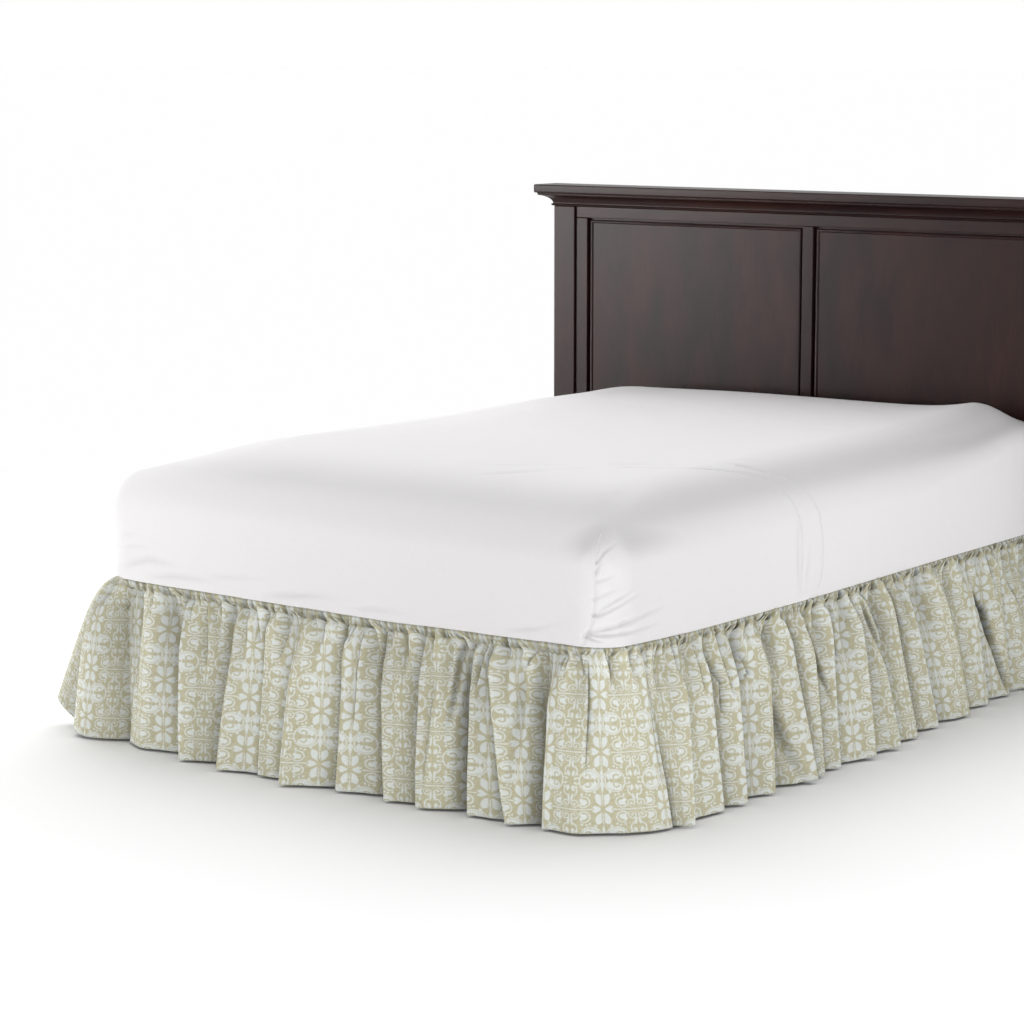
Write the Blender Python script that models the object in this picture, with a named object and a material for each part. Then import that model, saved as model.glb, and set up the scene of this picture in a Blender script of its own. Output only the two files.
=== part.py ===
"""A gathered bed skirt on the bed that it falls from.

The skirt is a plain deck, which lies between the mattress and the foundation, and one long
ruffle sewn to the deck's edge. The ruffle hangs on the left, the foot and the right of the
bed and goes round both foot corners without a split. The bed is a queen size one.

Metres, +Z up. The head of the bed is at +Y, its foot at -Y. The origin is on the floor,
under the middle of the mattress, where the middle leg stands.
"""

import math

import bmesh
import bpy
import numpy as np

MM = 0.001

# --- The bed -------------------------------------------------------------------------
BED_WIDTH = 1.520               # a queen size mattress
BED_LENGTH = 2.030
CLEAR = 0.0003                  # between pieces that touch

MATTRESS_HEIGHT = 0.257          # to the shoulder, without the crown
MATTRESS_CORNER = 0.095         # radius of the upright corners, seen from above
MATTRESS_HEAD_CORNER = 0.060
MATTRESS_CROWN = 0.066
CROWN_REACH = (0.260, 0.120, 0.400, 0.090)  # over which it rises: left, right, foot, head
CORNER_STEPS = 6

DECK_THICKNESS = 0.0012
DECK_EDGE_X = 0.755             # half width of the deck
DECK_EDGE_Y = 1.010             # from the middle to the deck's foot edge
DECK_CORNER = 0.090
DECK_HEAD_Y = 1.005

FOUNDATION_HEIGHT = 0.230
FOUNDATION_TOP = 0.4115
FOUNDATION_INSET = 0.018        # behind the deck's edge
FOUNDATION_BOTTOM = FOUNDATION_TOP - FOUNDATION_HEIGHT

DECK_BOTTOM = FOUNDATION_TOP + CLEAR
DECK_TOP = DECK_BOTTOM + DECK_THICKNESS
MATTRESS_BOTTOM = DECK_TOP + CLEAR

RAIL_X = 0.690                  # centre line of a side rail
RAIL_SIZE = 0.040
RAIL_TOP = FOUNDATION_BOTTOM - CLEAR
RAIL_BOTTOM = RAIL_TOP - RAIL_SIZE
RAIL_HEAD_Y = 1.0289            # a bracket further on reaches the headboard's posts
RAIL_FOOT_Y = -0.900
CROSS_RAILS = (("head", 0.780), ("middle", 0.0), ("foot", -0.780))
LEG_TOP_WIDTH = 0.052
LEG_FOOT_WIDTH = 0.040
BRACKET_THICKNESS = 0.006

# --- The ruffle ----------------------------------------------------------------------
CLOTH_THICKNESS = 0.0018
HEM_CLEARANCE = 0.006           # from the floor to the hem
CUT_DROP = 0.418                # from the seam down to the hem, along the cloth
SEAM_Z = DECK_BOTTOM + DECK_THICKNESS / 2
SEAM_GAP = 0.0005               # from the deck's edge to the middle of the ruffle's edge
VALLEY_LIMIT = -0.010           # no valley lies further in while the foundation is behind
COLUMN_PITCH = 0.022            # along the deck's edge, at most
CORNER_COLUMN_PITCH = 0.012     # where that edge is round
COLUMNS_PER_FOLD = 7
HIDDEN_COLUMNS_PER_FOLD = 6

# One row for each fold, in millimetres.
#   at      the crest's place at the hem, from the bed's middle along its side
#   out     how far the crest stands out from the deck's edge at the hem
#   dip     how far out the valley behind it lies, on the way to the next row
#   lean    how much further along the same side the crest is at the top
FOOT_FOLDS = (
    (-613, 36, 2, 21),
    (-455, 62, 14, -25),
    (-318, 81, 44, 12),
    (-202, 65, 58, -14),
    (-105, 97, 30, -6),
    (37, 69, 8, -3),
    (183, 70, 30, -48),
    (278, 75, -4, -18),
    (410, 56, 22, -19),
    (522, 66, -4, -73),
)

# The wide flat length round the near corner begins at this crest, still on the foot side.
CORNER_LENGTH = ((611, 45, 28, -8),)

RIGHT_FOLDS = (
    (-832, 107, 86, 73),        # where that length ends
    (-683, 84, 62, 13),
    (-604, 102, 66, 24),
    (-487, 96, 46, 55),
    (-337, 121, 86, 21),
    (-279, 108, 68, 39),
    (-190, 103, 70, 48),
    (-54, 120, 86, 44),
    (65, 118, 84, -19),
    (191, 99, 58, -58),
    (324, 83, 52, -100),
    (483, 89, 46, -85),
    (626, 65, 42, -69),
    (765, 60, 44, -40),
    (888, 62, 44, -60),
)

# Round the left foot corner, measured along the deck's edge from where that corner starts.
LEFT_CORNER_FOLDS = (
    (11, 231, 112, 8),
    (50, 130, -8, 16),
)

# The left side is hidden in the photo: it has the right side's folds, a little shifted.
LEFT_SHIFT = 26
LEFT_FOLDS = tuple((at + LEFT_SHIFT, out, dip, lean) for at, out, dip, lean in RIGHT_FOLDS)

# How far along a fold, from its crest to the next one, its valley lies.
VALLEY_ON_FOOT = 0.64
VALLEY_ON_RIGHT = 0.30
VALLEY_ON_LEFT = 0.70
VALLEY_AT_CORNER = 0.42

# One row for each level of the ruffle.
#   down    millimetres below the seam, measured on a crest that reaches the floor
#   puff    millimetres by which the gathered heading stands out there
#   flare   the share of the way from the heading to the hem's mean line
#   swing   the share of the fold's own depth
LEVELS = (
    (0.0, SEAM_GAP / MM, 0.00, 0.00),
    (0.6, 8.5, 0.00, 0.04),
    (5.0, 14.0, 0.00, 0.10),
    (15.0, 15.5, 0.01, 0.17),
    (34.0, 14.0, 0.05, 0.28),
    (84.0, 14.0, 0.17, 0.52),
    (158.0, 14.0, 0.36, 0.74),
    (262.0, 14.0, 0.64, 0.91),
    (406.0, 14.0, 1.00, 1.00),
)

# --- The headboard -------------------------------------------------------------------
POST_OUTER_X = 0.884
POST_WIDTH = 0.076
POST_FRONT_Y = 1.0355
POST_DEPTH = 0.070
HEADBOARD_TOP = 1.297
CAP_HEIGHT = 0.025
CAP_OVERHANG = 0.0445
CROWN_HEIGHT = 0.039
CROWN_TOP_OVERHANG = 0.0365
FRAME_FRONT_Y = 1.043           # stiles and rails lie a little behind the posts
FRAME_DEPTH = 0.036
STILE_WIDTH = 0.042
MIDDLE_STILE_WIDTH = 0.036
TOP_RAIL_HEIGHT = 0.033
BOTTOM_RAIL_HEIGHT = 0.090
HEADBOARD_LOWEST = 0.400        # underside of the bottom rail
PANEL_RECESS = 0.010
PANEL_DEPTH = 0.016
PANEL_BEAD = 0.019              # the raised bead round each panel and its two grooves
BEAD_RISE = 0.005


# --- Scene and materials -------------------------------------------------------------
def clear_scene():
    for old in list(bpy.data.objects):
        bpy.data.objects.remove(old, do_unlink=True)


def material(name, colour, roughness, metallic=0.0):
    """A Principled material in one colour, given as linear red, green and blue."""
    made = bpy.data.materials.new(name)
    made.use_nodes = True
    shader = made.node_tree.nodes["Principled BSDF"]
    shader.inputs["Base Color"].default_value = (*colour, 1.0)
    shader.inputs["Roughness"].default_value = roughness
    shader.inputs["Metallic"].default_value = metallic
    return made


def new_object(name, mesh, finish, parent):
    piece = bpy.data.objects.new(name, mesh)
    bpy.context.scene.collection.objects.link(piece)
    mesh.materials.append(finish)
    piece.parent = parent
    return piece


# --- Plain shapes --------------------------------------------------------------------
def board(name, low, high, finish, parent, bevel=0.0015):
    """A board between two corners, with its edges eased."""
    form = bmesh.new()
    bmesh.ops.create_cube(form, size=1.0)
    size = [b - a for a, b in zip(low, high)]
    bmesh.ops.scale(form, vec=size, verts=form.verts)
    mesh = bpy.data.meshes.new(name)
    form.to_mesh(mesh)
    form.free()
    piece = new_object(name, mesh, finish, parent)
    piece.location = [(a + b) / 2 for a, b in zip(low, high)]
    if bevel:
        eased = piece.modifiers.new("Eased edges", "BEVEL")
        eased.width = bevel
        eased.segments = 1
    return piece


def round_outline(half_x, low_y, high_y, radius, head_radius=None, steps=CORNER_STEPS):
    """A rectangle with round corners, seen from above, anticlockwise from the right.

    The two corners at the head have a radius of their own, and no radius makes them square.
    """
    corners = (
        (half_x, high_y, 0.0, head_radius),
        (-half_x, high_y, 90.0, head_radius),
        (-half_x, low_y, 180.0, radius),
        (half_x, low_y, 270.0, radius),
    )
    points = []
    for x, y, start, radius in corners:
        if radius is None:
            points.append((x, y))
            continue
        centre_x = x - math.copysign(radius, x)
        centre_y = y - math.copysign(radius, y)
        for step in range(steps + 1):
            angle = math.radians(start + 90.0 * step / steps)
            points.append((centre_x + radius * math.cos(angle), centre_y + radius * math.sin(angle)))
    return points


def divide_sides(outline, counts, steps=CORNER_STEPS):
    """Add evenly spaced points to an outline's straight sides: across the bed, along it."""
    points = []
    for index, start in enumerate(outline):
        points.append(start)
        if index % (steps + 1) != steps:
            continue
        end = outline[(index + 1) % len(outline)]
        count = counts[(index // (steps + 1)) % 2]
        for step in range(1, count + 1):
            share = step / (count + 1)
            points.append(tuple(a + (b - a) * share for a, b in zip(start, end)))
    return points


def stack_of_rings(name, rings, finish, parent):
    """A closed solid through outlines of equally many points, from the lowest to the top."""
    form = bmesh.new()
    loops = [[form.verts.new(point) for point in ring] for ring in rings]
    for below, above in zip(loops, loops[1:]):
        for index in range(len(below)):
            after = (index + 1) % len(below)
            form.faces.new((below[index], below[after], above[after], above[index]))
    form.faces.new(reversed(loops[0]))
    form.faces.new(loops[-1])
    mesh = bpy.data.meshes.new(name)
    form.to_mesh(mesh)
    form.free()
    return new_object(name, mesh, finish, parent)


def slab(name, outline, low_z, high_z, finish, parent):
    rings = [[(x, y, z) for x, y in outline] for z in (low_z, high_z)]
    return stack_of_rings(name, rings, finish, parent)


# --- The mattress --------------------------------------------------------------------
# Each row is a level of the mattress: share of its height, and how far its edge is drawn in
# there, in millimetres. The rows at its full height lie on the crown.
MATTRESS_LEVELS = (
    (0.000, 34),
    (0.030, 18),
    (0.085, 7),
    (0.170, 1),
    (0.330, 0),
    (0.560, 0),
    (0.720, 2),
    (0.830, 8),
    (0.915, 19),
    (0.970, 35),
    (1.000, 55),
    (1.000, 85),
    (1.000, 125),
    (1.000, 190),
    (1.000, 280),
    (1.000, 420),
    (1.000, 640),
)
SHOULDER = 0.042                # how far in the crown begins to rise


def crown_height(x, y):
    """How far the top stands above the mattress's shoulder: low at the foot, full at the head."""
    half_x, half_y = BED_WIDTH / 2, BED_LENGTH / 2
    distances = (half_x + x, half_x - x, half_y + y, half_y - y)
    height = MATTRESS_CROWN
    for distance, reach in zip(distances, CROWN_REACH):
        share = min(max((distance - SHOULDER) / reach, 0.0), 1.0)
        height *= 1.0 - (1.0 - share) ** 2
    return height


def build_mattress(finish, parent):
    rings = []
    for share, drawn_in in MATTRESS_LEVELS:
        inset = drawn_in * MM
        outline = round_outline(
            BED_WIDTH / 2 - inset,
            -BED_LENGTH / 2 + inset,
            BED_LENGTH / 2 - inset,
            max(MATTRESS_CORNER - 0.4 * inset, 0.030),
            max(MATTRESS_HEAD_CORNER - 0.4 * inset, 0.030),
        )
        z = MATTRESS_BOTTOM + share * MATTRESS_HEIGHT
        rings.append([
            (x, y, z + (crown_height(x, y) if share == 1.0 else 0.0))
            for x, y in divide_sides(outline, (3, 5))
        ])
    piece = stack_of_rings("mattress", rings, finish, parent)
    piece.data.shade_smooth()
    return piece


# --- The deck and the foundation -----------------------------------------------------
def build_deck(finish, parent):
    outline = round_outline(DECK_EDGE_X, -DECK_EDGE_Y, DECK_HEAD_Y, DECK_CORNER, steps=12)
    return slab("deck", outline, DECK_BOTTOM, DECK_TOP, finish, parent)


def build_foundation(finish, parent):
    outline = round_outline(
        DECK_EDGE_X - FOUNDATION_INSET,
        -DECK_EDGE_Y + FOUNDATION_INSET,
        DECK_HEAD_Y,
        DECK_CORNER - FOUNDATION_INSET,
        DECK_CORNER - FOUNDATION_INSET,
    )
    return slab("foundation", outline, FOUNDATION_BOTTOM, FOUNDATION_TOP, finish, parent)


# --- The ruffle ----------------------------------------------------------------------
STRAIGHT_SIDE = DECK_HEAD_Y + DECK_EDGE_Y - DECK_CORNER
STRAIGHT_FOOT = 2 * (DECK_EDGE_X - DECK_CORNER)
ARC = math.pi / 2 * DECK_CORNER
EDGE_LENGTH = 2 * STRAIGHT_SIDE + 2 * ARC + STRAIGHT_FOOT


def edge_point(along):
    """The deck's edge at a length along it from the left side's head end, and its normal."""
    corner_x = DECK_EDGE_X - DECK_CORNER
    corner_y = -DECK_EDGE_Y + DECK_CORNER
    if along <= STRAIGHT_SIDE:
        return np.array((-DECK_EDGE_X, DECK_HEAD_Y - along)), np.array((-1.0, 0.0))
    along -= STRAIGHT_SIDE
    if along <= ARC:
        angle = math.pi + along / DECK_CORNER
        normal = np.array((math.cos(angle), math.sin(angle)))
        return np.array((-corner_x, corner_y)) + DECK_CORNER * normal, normal
    along -= ARC
    if along <= STRAIGHT_FOOT:
        return np.array((along - corner_x, -DECK_EDGE_Y)), np.array((0.0, -1.0))
    along -= STRAIGHT_FOOT
    if along <= ARC:
        angle = 1.5 * math.pi + along / DECK_CORNER
        normal = np.array((math.cos(angle), math.sin(angle)))
        return np.array((corner_x, corner_y)) + DECK_CORNER * normal, normal
    along -= ARC
    return np.array((DECK_EDGE_X, corner_y + along)), np.array((1.0, 0.0))


def fold_list():
    """Every fold: place along the edge at the hem and at the top, out, dip, valley, columns."""
    foot_middle = STRAIGHT_SIDE + ARC + STRAIGHT_FOOT / 2
    right_middle = EDGE_LENGTH - DECK_HEAD_Y
    stretches = (
        (LEFT_FOLDS[::-1], DECK_HEAD_Y, -1, VALLEY_ON_LEFT, HIDDEN_COLUMNS_PER_FOLD),
        (LEFT_CORNER_FOLDS, STRAIGHT_SIDE, 1, VALLEY_AT_CORNER, COLUMNS_PER_FOLD),
        (FOOT_FOLDS, foot_middle, 1, VALLEY_ON_FOOT, COLUMNS_PER_FOLD),
        (CORNER_LENGTH, foot_middle, 1, VALLEY_AT_CORNER, COLUMNS_PER_FOLD),
        (RIGHT_FOLDS, right_middle, 1, VALLEY_ON_RIGHT, COLUMNS_PER_FOLD),
    )
    folds = []
    for rows, start, way, valley, count in stretches:
        for at, out, dip, lean in rows:
            hem = start + way * at * MM
            folds.append((hem, hem + way * lean * MM, out * MM, dip * MM, valley, count))
    first = (0.0, 0.0, *folds[0][2:])
    last = (EDGE_LENGTH, EDGE_LENGTH, *folds[-1][2:])
    return [first, *folds, last]


def swing_between(fold, after, share):
    """How far out the hem is at a share of the way from one crest to the next."""
    out, dip, valley = fold[2:5]
    if share <= valley:
        rise = 0.5 + 0.5 * math.cos(math.pi * share / valley)
        return dip + (out - dip) * rise
    rise = 0.5 - 0.5 * math.cos(math.pi * (share - valley) / (1.0 - valley))
    return dip + (after[2] - dip) * rise


def on_a_corner(start, end):
    """Whether a stretch of the deck's edge takes in some of a round corner."""
    corners = (STRAIGHT_SIDE, EDGE_LENGTH - STRAIGHT_SIDE - ARC)
    return any(start < corner + ARC and end > corner for corner in corners)


def ruffle_columns():
    """Each column of the ruffle: place at the hem and the top, out at the hem, mean line."""
    folds = fold_list()
    middles = [(fold[2] + fold[3]) / 2 for fold in folds]
    columns = []
    for index, (fold, after) in enumerate(zip(folds, folds[1:])):
        gap = after[0] - fold[0]
        pitch = CORNER_COLUMN_PITCH if on_a_corner(fold[1], after[1]) else COLUMN_PITCH
        count = max(fold[5], math.ceil(gap / pitch))
        for step in range(count):
            share = step / count
            hem = fold[0] + share * gap
            top = fold[1] + share * (after[1] - fold[1])
            middle = middles[index] + share * (middles[index + 1] - middles[index])
            columns.append((hem, top, swing_between(fold, after, share), middle))
    last = folds[-1]
    columns.append((last[0], last[1], last[2], middles[-1]))
    return columns


def ruffle_point(column, level):
    """A point of the ruffle's middle surface."""
    hem, top, out_at_hem, middle = column
    down, puff, flare, swing = level
    drop = down / LEVELS[-1][0]
    along = top + (hem - top) * drop
    out = puff * MM * (1.0 - flare) + middle * flare + (out_at_hem - middle) * swing
    if SEAM_Z - down * MM > FOUNDATION_BOTTOM - 0.02:
        out = max(out, VALLEY_LIMIT)
    hem_z = max(HEM_CLEARANCE, SEAM_Z - math.sqrt(CUT_DROP**2 - out_at_hem**2))
    place, normal = edge_point(along)
    place = place + normal * out
    return place[0], place[1], SEAM_Z - (SEAM_Z - hem_z) * drop


def build_ruffle(finish, parent):
    """The ruffle as one thin closed sheet: outer skin, inner skin and the rim round both."""
    columns = ruffle_columns()
    middle = np.array([[ruffle_point(column, level) for level in LEVELS] for column in columns])
    normals = np.cross(np.gradient(middle, axis=0), np.gradient(middle, axis=1))
    normals /= np.linalg.norm(normals, axis=2, keepdims=True)
    normals = -normals
    outer = middle + normals * CLOTH_THICKNESS / 2
    inner = middle - normals * CLOTH_THICKNESS / 2
    across, down = middle.shape[:2]
    points = np.concatenate((outer.reshape(-1, 3), inner.reshape(-1, 3)))
    skin = across * down

    def corner(column, level, inside):
        return column * down + level + (skin if inside else 0)

    faces = []
    for c in range(across - 1):
        for r in range(down - 1):
            faces.append([corner(c, r, 0), corner(c, r + 1, 0), corner(c + 1, r + 1, 0), corner(c + 1, r, 0)])
            faces.append([corner(c, r, 1), corner(c + 1, r, 1), corner(c + 1, r + 1, 1), corner(c, r + 1, 1)])
        for r, flip in ((0, False), (down - 1, True)):
            rim = [corner(c, r, 0), corner(c + 1, r, 0), corner(c + 1, r, 1), corner(c, r, 1)]
            faces.append(rim[::-1] if flip else rim)
    for r in range(down - 1):
        for c, flip in ((0, True), (across - 1, False)):
            rim = [corner(c, r, 0), corner(c, r + 1, 0), corner(c, r + 1, 1), corner(c, r, 1)]
            faces.append(rim[::-1] if flip else rim)
    mesh = bpy.data.meshes.new("ruffle")
    mesh.from_pydata(points.tolist(), [], faces)
    form = bmesh.new()
    form.from_mesh(mesh)
    bmesh.ops.recalc_face_normals(form, faces=form.faces)
    form.to_mesh(mesh)
    form.free()
    mesh.shade_smooth()
    return new_object("ruffle", mesh, finish, parent)


# --- The frame -----------------------------------------------------------------------
def build_frame(finish, parent):
    half = RAIL_SIZE / 2
    for side, sign in (("left", -1), ("right", 1)):
        x = sign * RAIL_X
        board(
            f"rail_{side}",
            (x - half, RAIL_FOOT_Y, RAIL_BOTTOM),
            (x + half, RAIL_HEAD_Y, RAIL_TOP),
            finish,
            parent,
        )
        build_bracket(side, sign, finish, parent)
    reach = RAIL_X - half - CLEAR
    for place, y in CROSS_RAILS:
        low = (-reach, y - half, RAIL_BOTTOM)
        high = (reach, y + half, RAIL_TOP)
        board(f"cross_rail_{place}", low, high, finish, parent)
    for place, y in CROSS_RAILS:
        if place == "middle":
            build_leg("leg_middle", 0.0, y, finish, parent)
            continue
        build_leg(f"leg_left_{place}", -RAIL_X, y, finish, parent)
        build_leg(f"leg_right_{place}", RAIL_X, y, finish, parent)


def build_bracket(side, sign, finish, parent):
    """The steel plate from a side rail's head end across to the headboard's post."""
    near = sign * (RAIL_X - RAIL_SIZE / 2)
    far = sign * (POST_OUTER_X - POST_WIDTH * 0.4)
    low_y = RAIL_HEAD_Y + CLEAR
    board(
        f"bracket_{side}",
        (min(near, far), low_y, RAIL_BOTTOM - 0.020),
        (max(near, far), low_y + BRACKET_THICKNESS, RAIL_TOP),
        finish,
        parent,
        bevel=0.001,
    )


def build_leg(name, x, y, finish, parent):
    """A square leg, narrower at the floor."""
    rings = []
    for z, width in ((0.0, LEG_FOOT_WIDTH), (RAIL_BOTTOM - CLEAR, LEG_TOP_WIDTH)):
        half = width / 2
        rings.append([(half, half, z), (-half, half, z), (-half, -half, z), (half, -half, z)])
    leg = stack_of_rings(name, rings, finish, parent)
    leg.location = (x, y, 0.0)
    return leg


# --- The headboard -------------------------------------------------------------------
# Each row is a level of the crown moulding: share of its height, and share of its overhang.
CROWN_LEVELS = (
    (0.00, 0.05),
    (0.08, 0.05),
    (0.12, 0.14),
    (0.30, 0.19),
    (0.50, 0.32),
    (0.68, 0.55),
    (0.82, 0.80),
    (0.90, 0.93),
    (1.00, 1.00),
)


def headboard_ring(overhang, z):
    """A level of the crown or the cap: it stands out in front and at both ends."""
    half = POST_OUTER_X + overhang
    front = POST_FRONT_Y - overhang
    back = POST_FRONT_Y + POST_DEPTH
    return [(half, front, z), (half, back, z), (-half, back, z), (-half, front, z)]


def build_crown_and_cap(finish, parent):
    cap_bottom = HEADBOARD_TOP - CAP_HEIGHT
    crown_top = cap_bottom - CLEAR
    crown_bottom = crown_top - CROWN_HEIGHT
    rings = [
        headboard_ring(out * CROWN_TOP_OVERHANG, crown_bottom + up * CROWN_HEIGHT)
        for up, out in CROWN_LEVELS
    ]
    stack_of_rings("crown", rings, finish, parent)
    low = (-POST_OUTER_X - CAP_OVERHANG, POST_FRONT_Y - CAP_OVERHANG, cap_bottom)
    high = (POST_OUTER_X + CAP_OVERHANG, POST_FRONT_Y + POST_DEPTH, HEADBOARD_TOP)
    board("cap", low, high, finish, parent, bevel=0.003)
    return crown_bottom - CLEAR


def build_panel(name, low_x, high_x, low_z, high_z, finish, parent):
    """A flat panel behind the frame, with a bead round the edge of its face."""
    face = FRAME_FRONT_Y + PANEL_RECESS
    back = face + PANEL_DEPTH
    insets = (
        (0.0, back),
        (0.0, face),
        (PANEL_BEAD * 0.25, face),
        (PANEL_BEAD * 0.40, face - BEAD_RISE),
        (PANEL_BEAD * 0.70, face - BEAD_RISE),
        (PANEL_BEAD, face),
    )
    rings = []
    for inset, y in insets:
        rings.append([
            (low_x + inset, y, low_z + inset),
            (low_x + inset, y, high_z - inset),
            (high_x - inset, y, high_z - inset),
            (high_x - inset, y, low_z + inset),
        ])
    rings = [ring[::-1] for ring in rings]
    return stack_of_rings(name, rings, finish, parent)


def build_headboard(finish, parent):
    post_top = build_crown_and_cap(finish, parent)
    for side, sign in (("left", -1), ("right", 1)):
        inner, outer = sign * (POST_OUTER_X - POST_WIDTH), sign * POST_OUTER_X
        low = (min(inner, outer), POST_FRONT_Y, 0.0)
        high = (max(inner, outer), POST_FRONT_Y + POST_DEPTH, post_top)
        board(f"post_{side}", low, high, finish, parent, bevel=0.002)

    front, back = FRAME_FRONT_Y, FRAME_FRONT_Y + FRAME_DEPTH
    frame_x = POST_OUTER_X - POST_WIDTH - CLEAR
    rail_low = post_top - TOP_RAIL_HEIGHT
    low_rail_top = HEADBOARD_LOWEST + BOTTOM_RAIL_HEIGHT
    board("top_rail", (-frame_x, front, rail_low), (frame_x, back, post_top), finish, parent)
    low = (-frame_x, front, HEADBOARD_LOWEST)
    board("bottom_rail", low, (frame_x, back, low_rail_top), finish, parent)

    stile_low, stile_high = low_rail_top + CLEAR, rail_low - CLEAR
    inner_x = frame_x - STILE_WIDTH
    for side, sign in (("left", -1), ("right", 1)):
        xs = sorted((sign * inner_x, sign * frame_x))
        board(f"stile_{side}", (xs[0], front, stile_low), (xs[1], back, stile_high), finish, parent)
    half = MIDDLE_STILE_WIDTH / 2
    board("stile_middle", (-half, front, stile_low), (half, back, stile_high), finish, parent)
    for side, low_x, high_x in (
        ("left", -inner_x + CLEAR, -half - CLEAR),
        ("right", half + CLEAR, inner_x - CLEAR),
    ):
        build_panel(f"panel_{side}", low_x, high_x, stile_low, stile_high, finish, parent)


# --- The whole -----------------------------------------------------------------------
def build():
    clear_scene()
    root = bpy.data.objects.new("bed", None)
    bpy.context.scene.collection.objects.link(root)
    print_cotton = material("Printed cotton", (0.47, 0.45, 0.34), 0.85)
    plain_cotton = material("Plain cotton", (0.75, 0.74, 0.72), 0.9)
    sheet_cotton = material("Fitted sheet cotton", (0.83, 0.81, 0.83), 0.8)
    ticking = material("Ticking", (0.55, 0.53, 0.50), 0.9)
    steel = material("Painted steel", (0.03, 0.03, 0.03), 0.5, 0.0)
    wood = material("Espresso stained wood", (0.045, 0.032, 0.030), 0.35)
    build_ruffle(print_cotton, root)
    build_deck(plain_cotton, root)
    build_mattress(sheet_cotton, root)
    build_foundation(ticking, root)
    build_frame(steel, root)
    build_headboard(wood, root)


build()
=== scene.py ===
import math

import bmesh
import bpy
import numpy as np
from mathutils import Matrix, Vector
from mathutils.bvhtree import BVHTree


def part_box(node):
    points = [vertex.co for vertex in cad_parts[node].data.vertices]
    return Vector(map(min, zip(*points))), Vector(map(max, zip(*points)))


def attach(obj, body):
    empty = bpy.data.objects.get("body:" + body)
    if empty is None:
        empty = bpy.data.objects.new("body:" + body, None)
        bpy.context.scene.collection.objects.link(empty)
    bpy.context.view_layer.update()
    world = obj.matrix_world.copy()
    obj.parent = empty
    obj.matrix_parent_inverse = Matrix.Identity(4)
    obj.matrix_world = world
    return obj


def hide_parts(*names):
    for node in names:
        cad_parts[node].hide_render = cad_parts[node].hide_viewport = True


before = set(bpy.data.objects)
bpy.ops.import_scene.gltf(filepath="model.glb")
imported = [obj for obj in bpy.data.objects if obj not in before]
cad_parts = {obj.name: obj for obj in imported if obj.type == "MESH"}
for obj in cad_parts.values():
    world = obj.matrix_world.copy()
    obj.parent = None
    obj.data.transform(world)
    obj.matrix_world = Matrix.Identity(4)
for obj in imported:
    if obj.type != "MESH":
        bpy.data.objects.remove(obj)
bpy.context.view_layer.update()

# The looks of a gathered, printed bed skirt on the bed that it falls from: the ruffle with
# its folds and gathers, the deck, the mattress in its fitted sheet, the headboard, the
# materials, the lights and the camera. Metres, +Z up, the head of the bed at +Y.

MM = 0.001

# --- Sizes that the frame gives --------------------------------------------------------
DECK_LOW, DECK_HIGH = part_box("deck")
DECK_HALF_X = DECK_HIGH.x
DECK_FOOT_Y = DECK_LOW.y
DECK_HEAD_Y = DECK_HIGH.y
SEAM_Z = (DECK_LOW.z + DECK_HIGH.z) / 2
MATTRESS_LOW, MATTRESS_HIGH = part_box("mattress")

DECK_CORNER = 0.090             # radius of the deck's foot corners
HEM_CLEARANCE = 0.006           # the hem's least height above the floor
CUT_DROP = 0.418                # of the ruffle's cloth, from its seam to its hem
RUFFLE_THICKNESS = 0.0012
DECK_THICKNESS = 0.001
CORNER_SEGMENTS = 12            # of the deck's round corners


# --- Small helpers ---------------------------------------------------------------------
def deselect():
    if bpy.context.object and bpy.context.object.mode != "OBJECT":
        bpy.ops.object.mode_set(mode="OBJECT")
    bpy.ops.object.select_all(action="DESELECT")


def make_active(piece):
    deselect()
    piece.select_set(True)
    bpy.context.view_layer.objects.active = piece


def settle(piece):
    """Put the object's own place and size into its mesh."""
    make_active(piece)
    bpy.ops.object.transform_apply(location=True, rotation=True, scale=True)


def apply_modifiers(piece):
    make_active(piece)
    for modifier in list(piece.modifiers):
        bpy.ops.object.modifier_apply(modifier=modifier.name)


def wear(piece, finish):
    piece.data.materials.clear()
    piece.data.materials.append(finish)


def smooth_by_angle(piece, degrees=35.0):
    make_active(piece)
    bpy.ops.object.shade_smooth_by_angle(angle=math.radians(degrees))


def select_faces(piece, chosen):
    """In edit mode, select the faces for which chosen(centre, normal) is true."""
    form = bmesh.from_edit_mesh(piece.data)
    for face in form.faces:
        face.select_set(bool(chosen(face.calc_center_median(), face.normal)))
    form.select_flush_mode()
    bmesh.update_edit_mesh(piece.data)


def add_box(name, low, high):
    """A cube primitive that fills a box, with its place in its mesh."""
    deselect()
    centre = [(a + b) / 2 for a, b in zip(low, high)]
    bpy.ops.mesh.primitive_cube_add(size=1.0, location=centre)
    piece = bpy.context.object
    piece.name = piece.data.name = name
    piece.scale = [b - a for a, b in zip(low, high)]
    settle(piece)
    return piece


def read_points(mesh):
    places = np.empty(len(mesh.vertices) * 3)
    mesh.vertices.foreach_get("co", places)
    return places.reshape(-1, 3)


def write_points(mesh, places):
    mesh.vertices.foreach_set("co", places.ravel())
    mesh.update()


def add_to_scene(name, data):
    """A new object for a mesh, a curve, a light or a camera."""
    made = bpy.data.objects.new(name, data)
    bpy.context.scene.collection.objects.link(made)
    return made


def thicken(piece, thickness):
    """Give a sheet its thickness, half of it to either side."""
    thick = piece.modifiers.new("Cloth thickness", "SOLIDIFY")
    thick.thickness = thickness
    thick.offset = 0.0
    apply_modifiers(piece)


def keep_painted_shade(mesh, shade):
    """Keep the painted shade and light at each vertex, where its material multiplies its colour by
    it.
    """
    mesh.attributes.new("shade", "FLOAT", "POINT").data.foreach_set("value", shade)


def ease(share):
    """A smooth step from 0 to 1."""
    share = np.clip(share, 0.0, 1.0)
    return share * share * (3.0 - 2.0 * share)


def ramp(value, start, end):
    """A smooth step: 0 up to a start, 1 from an end."""
    return ease((value - start) / (end - start))


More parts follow.
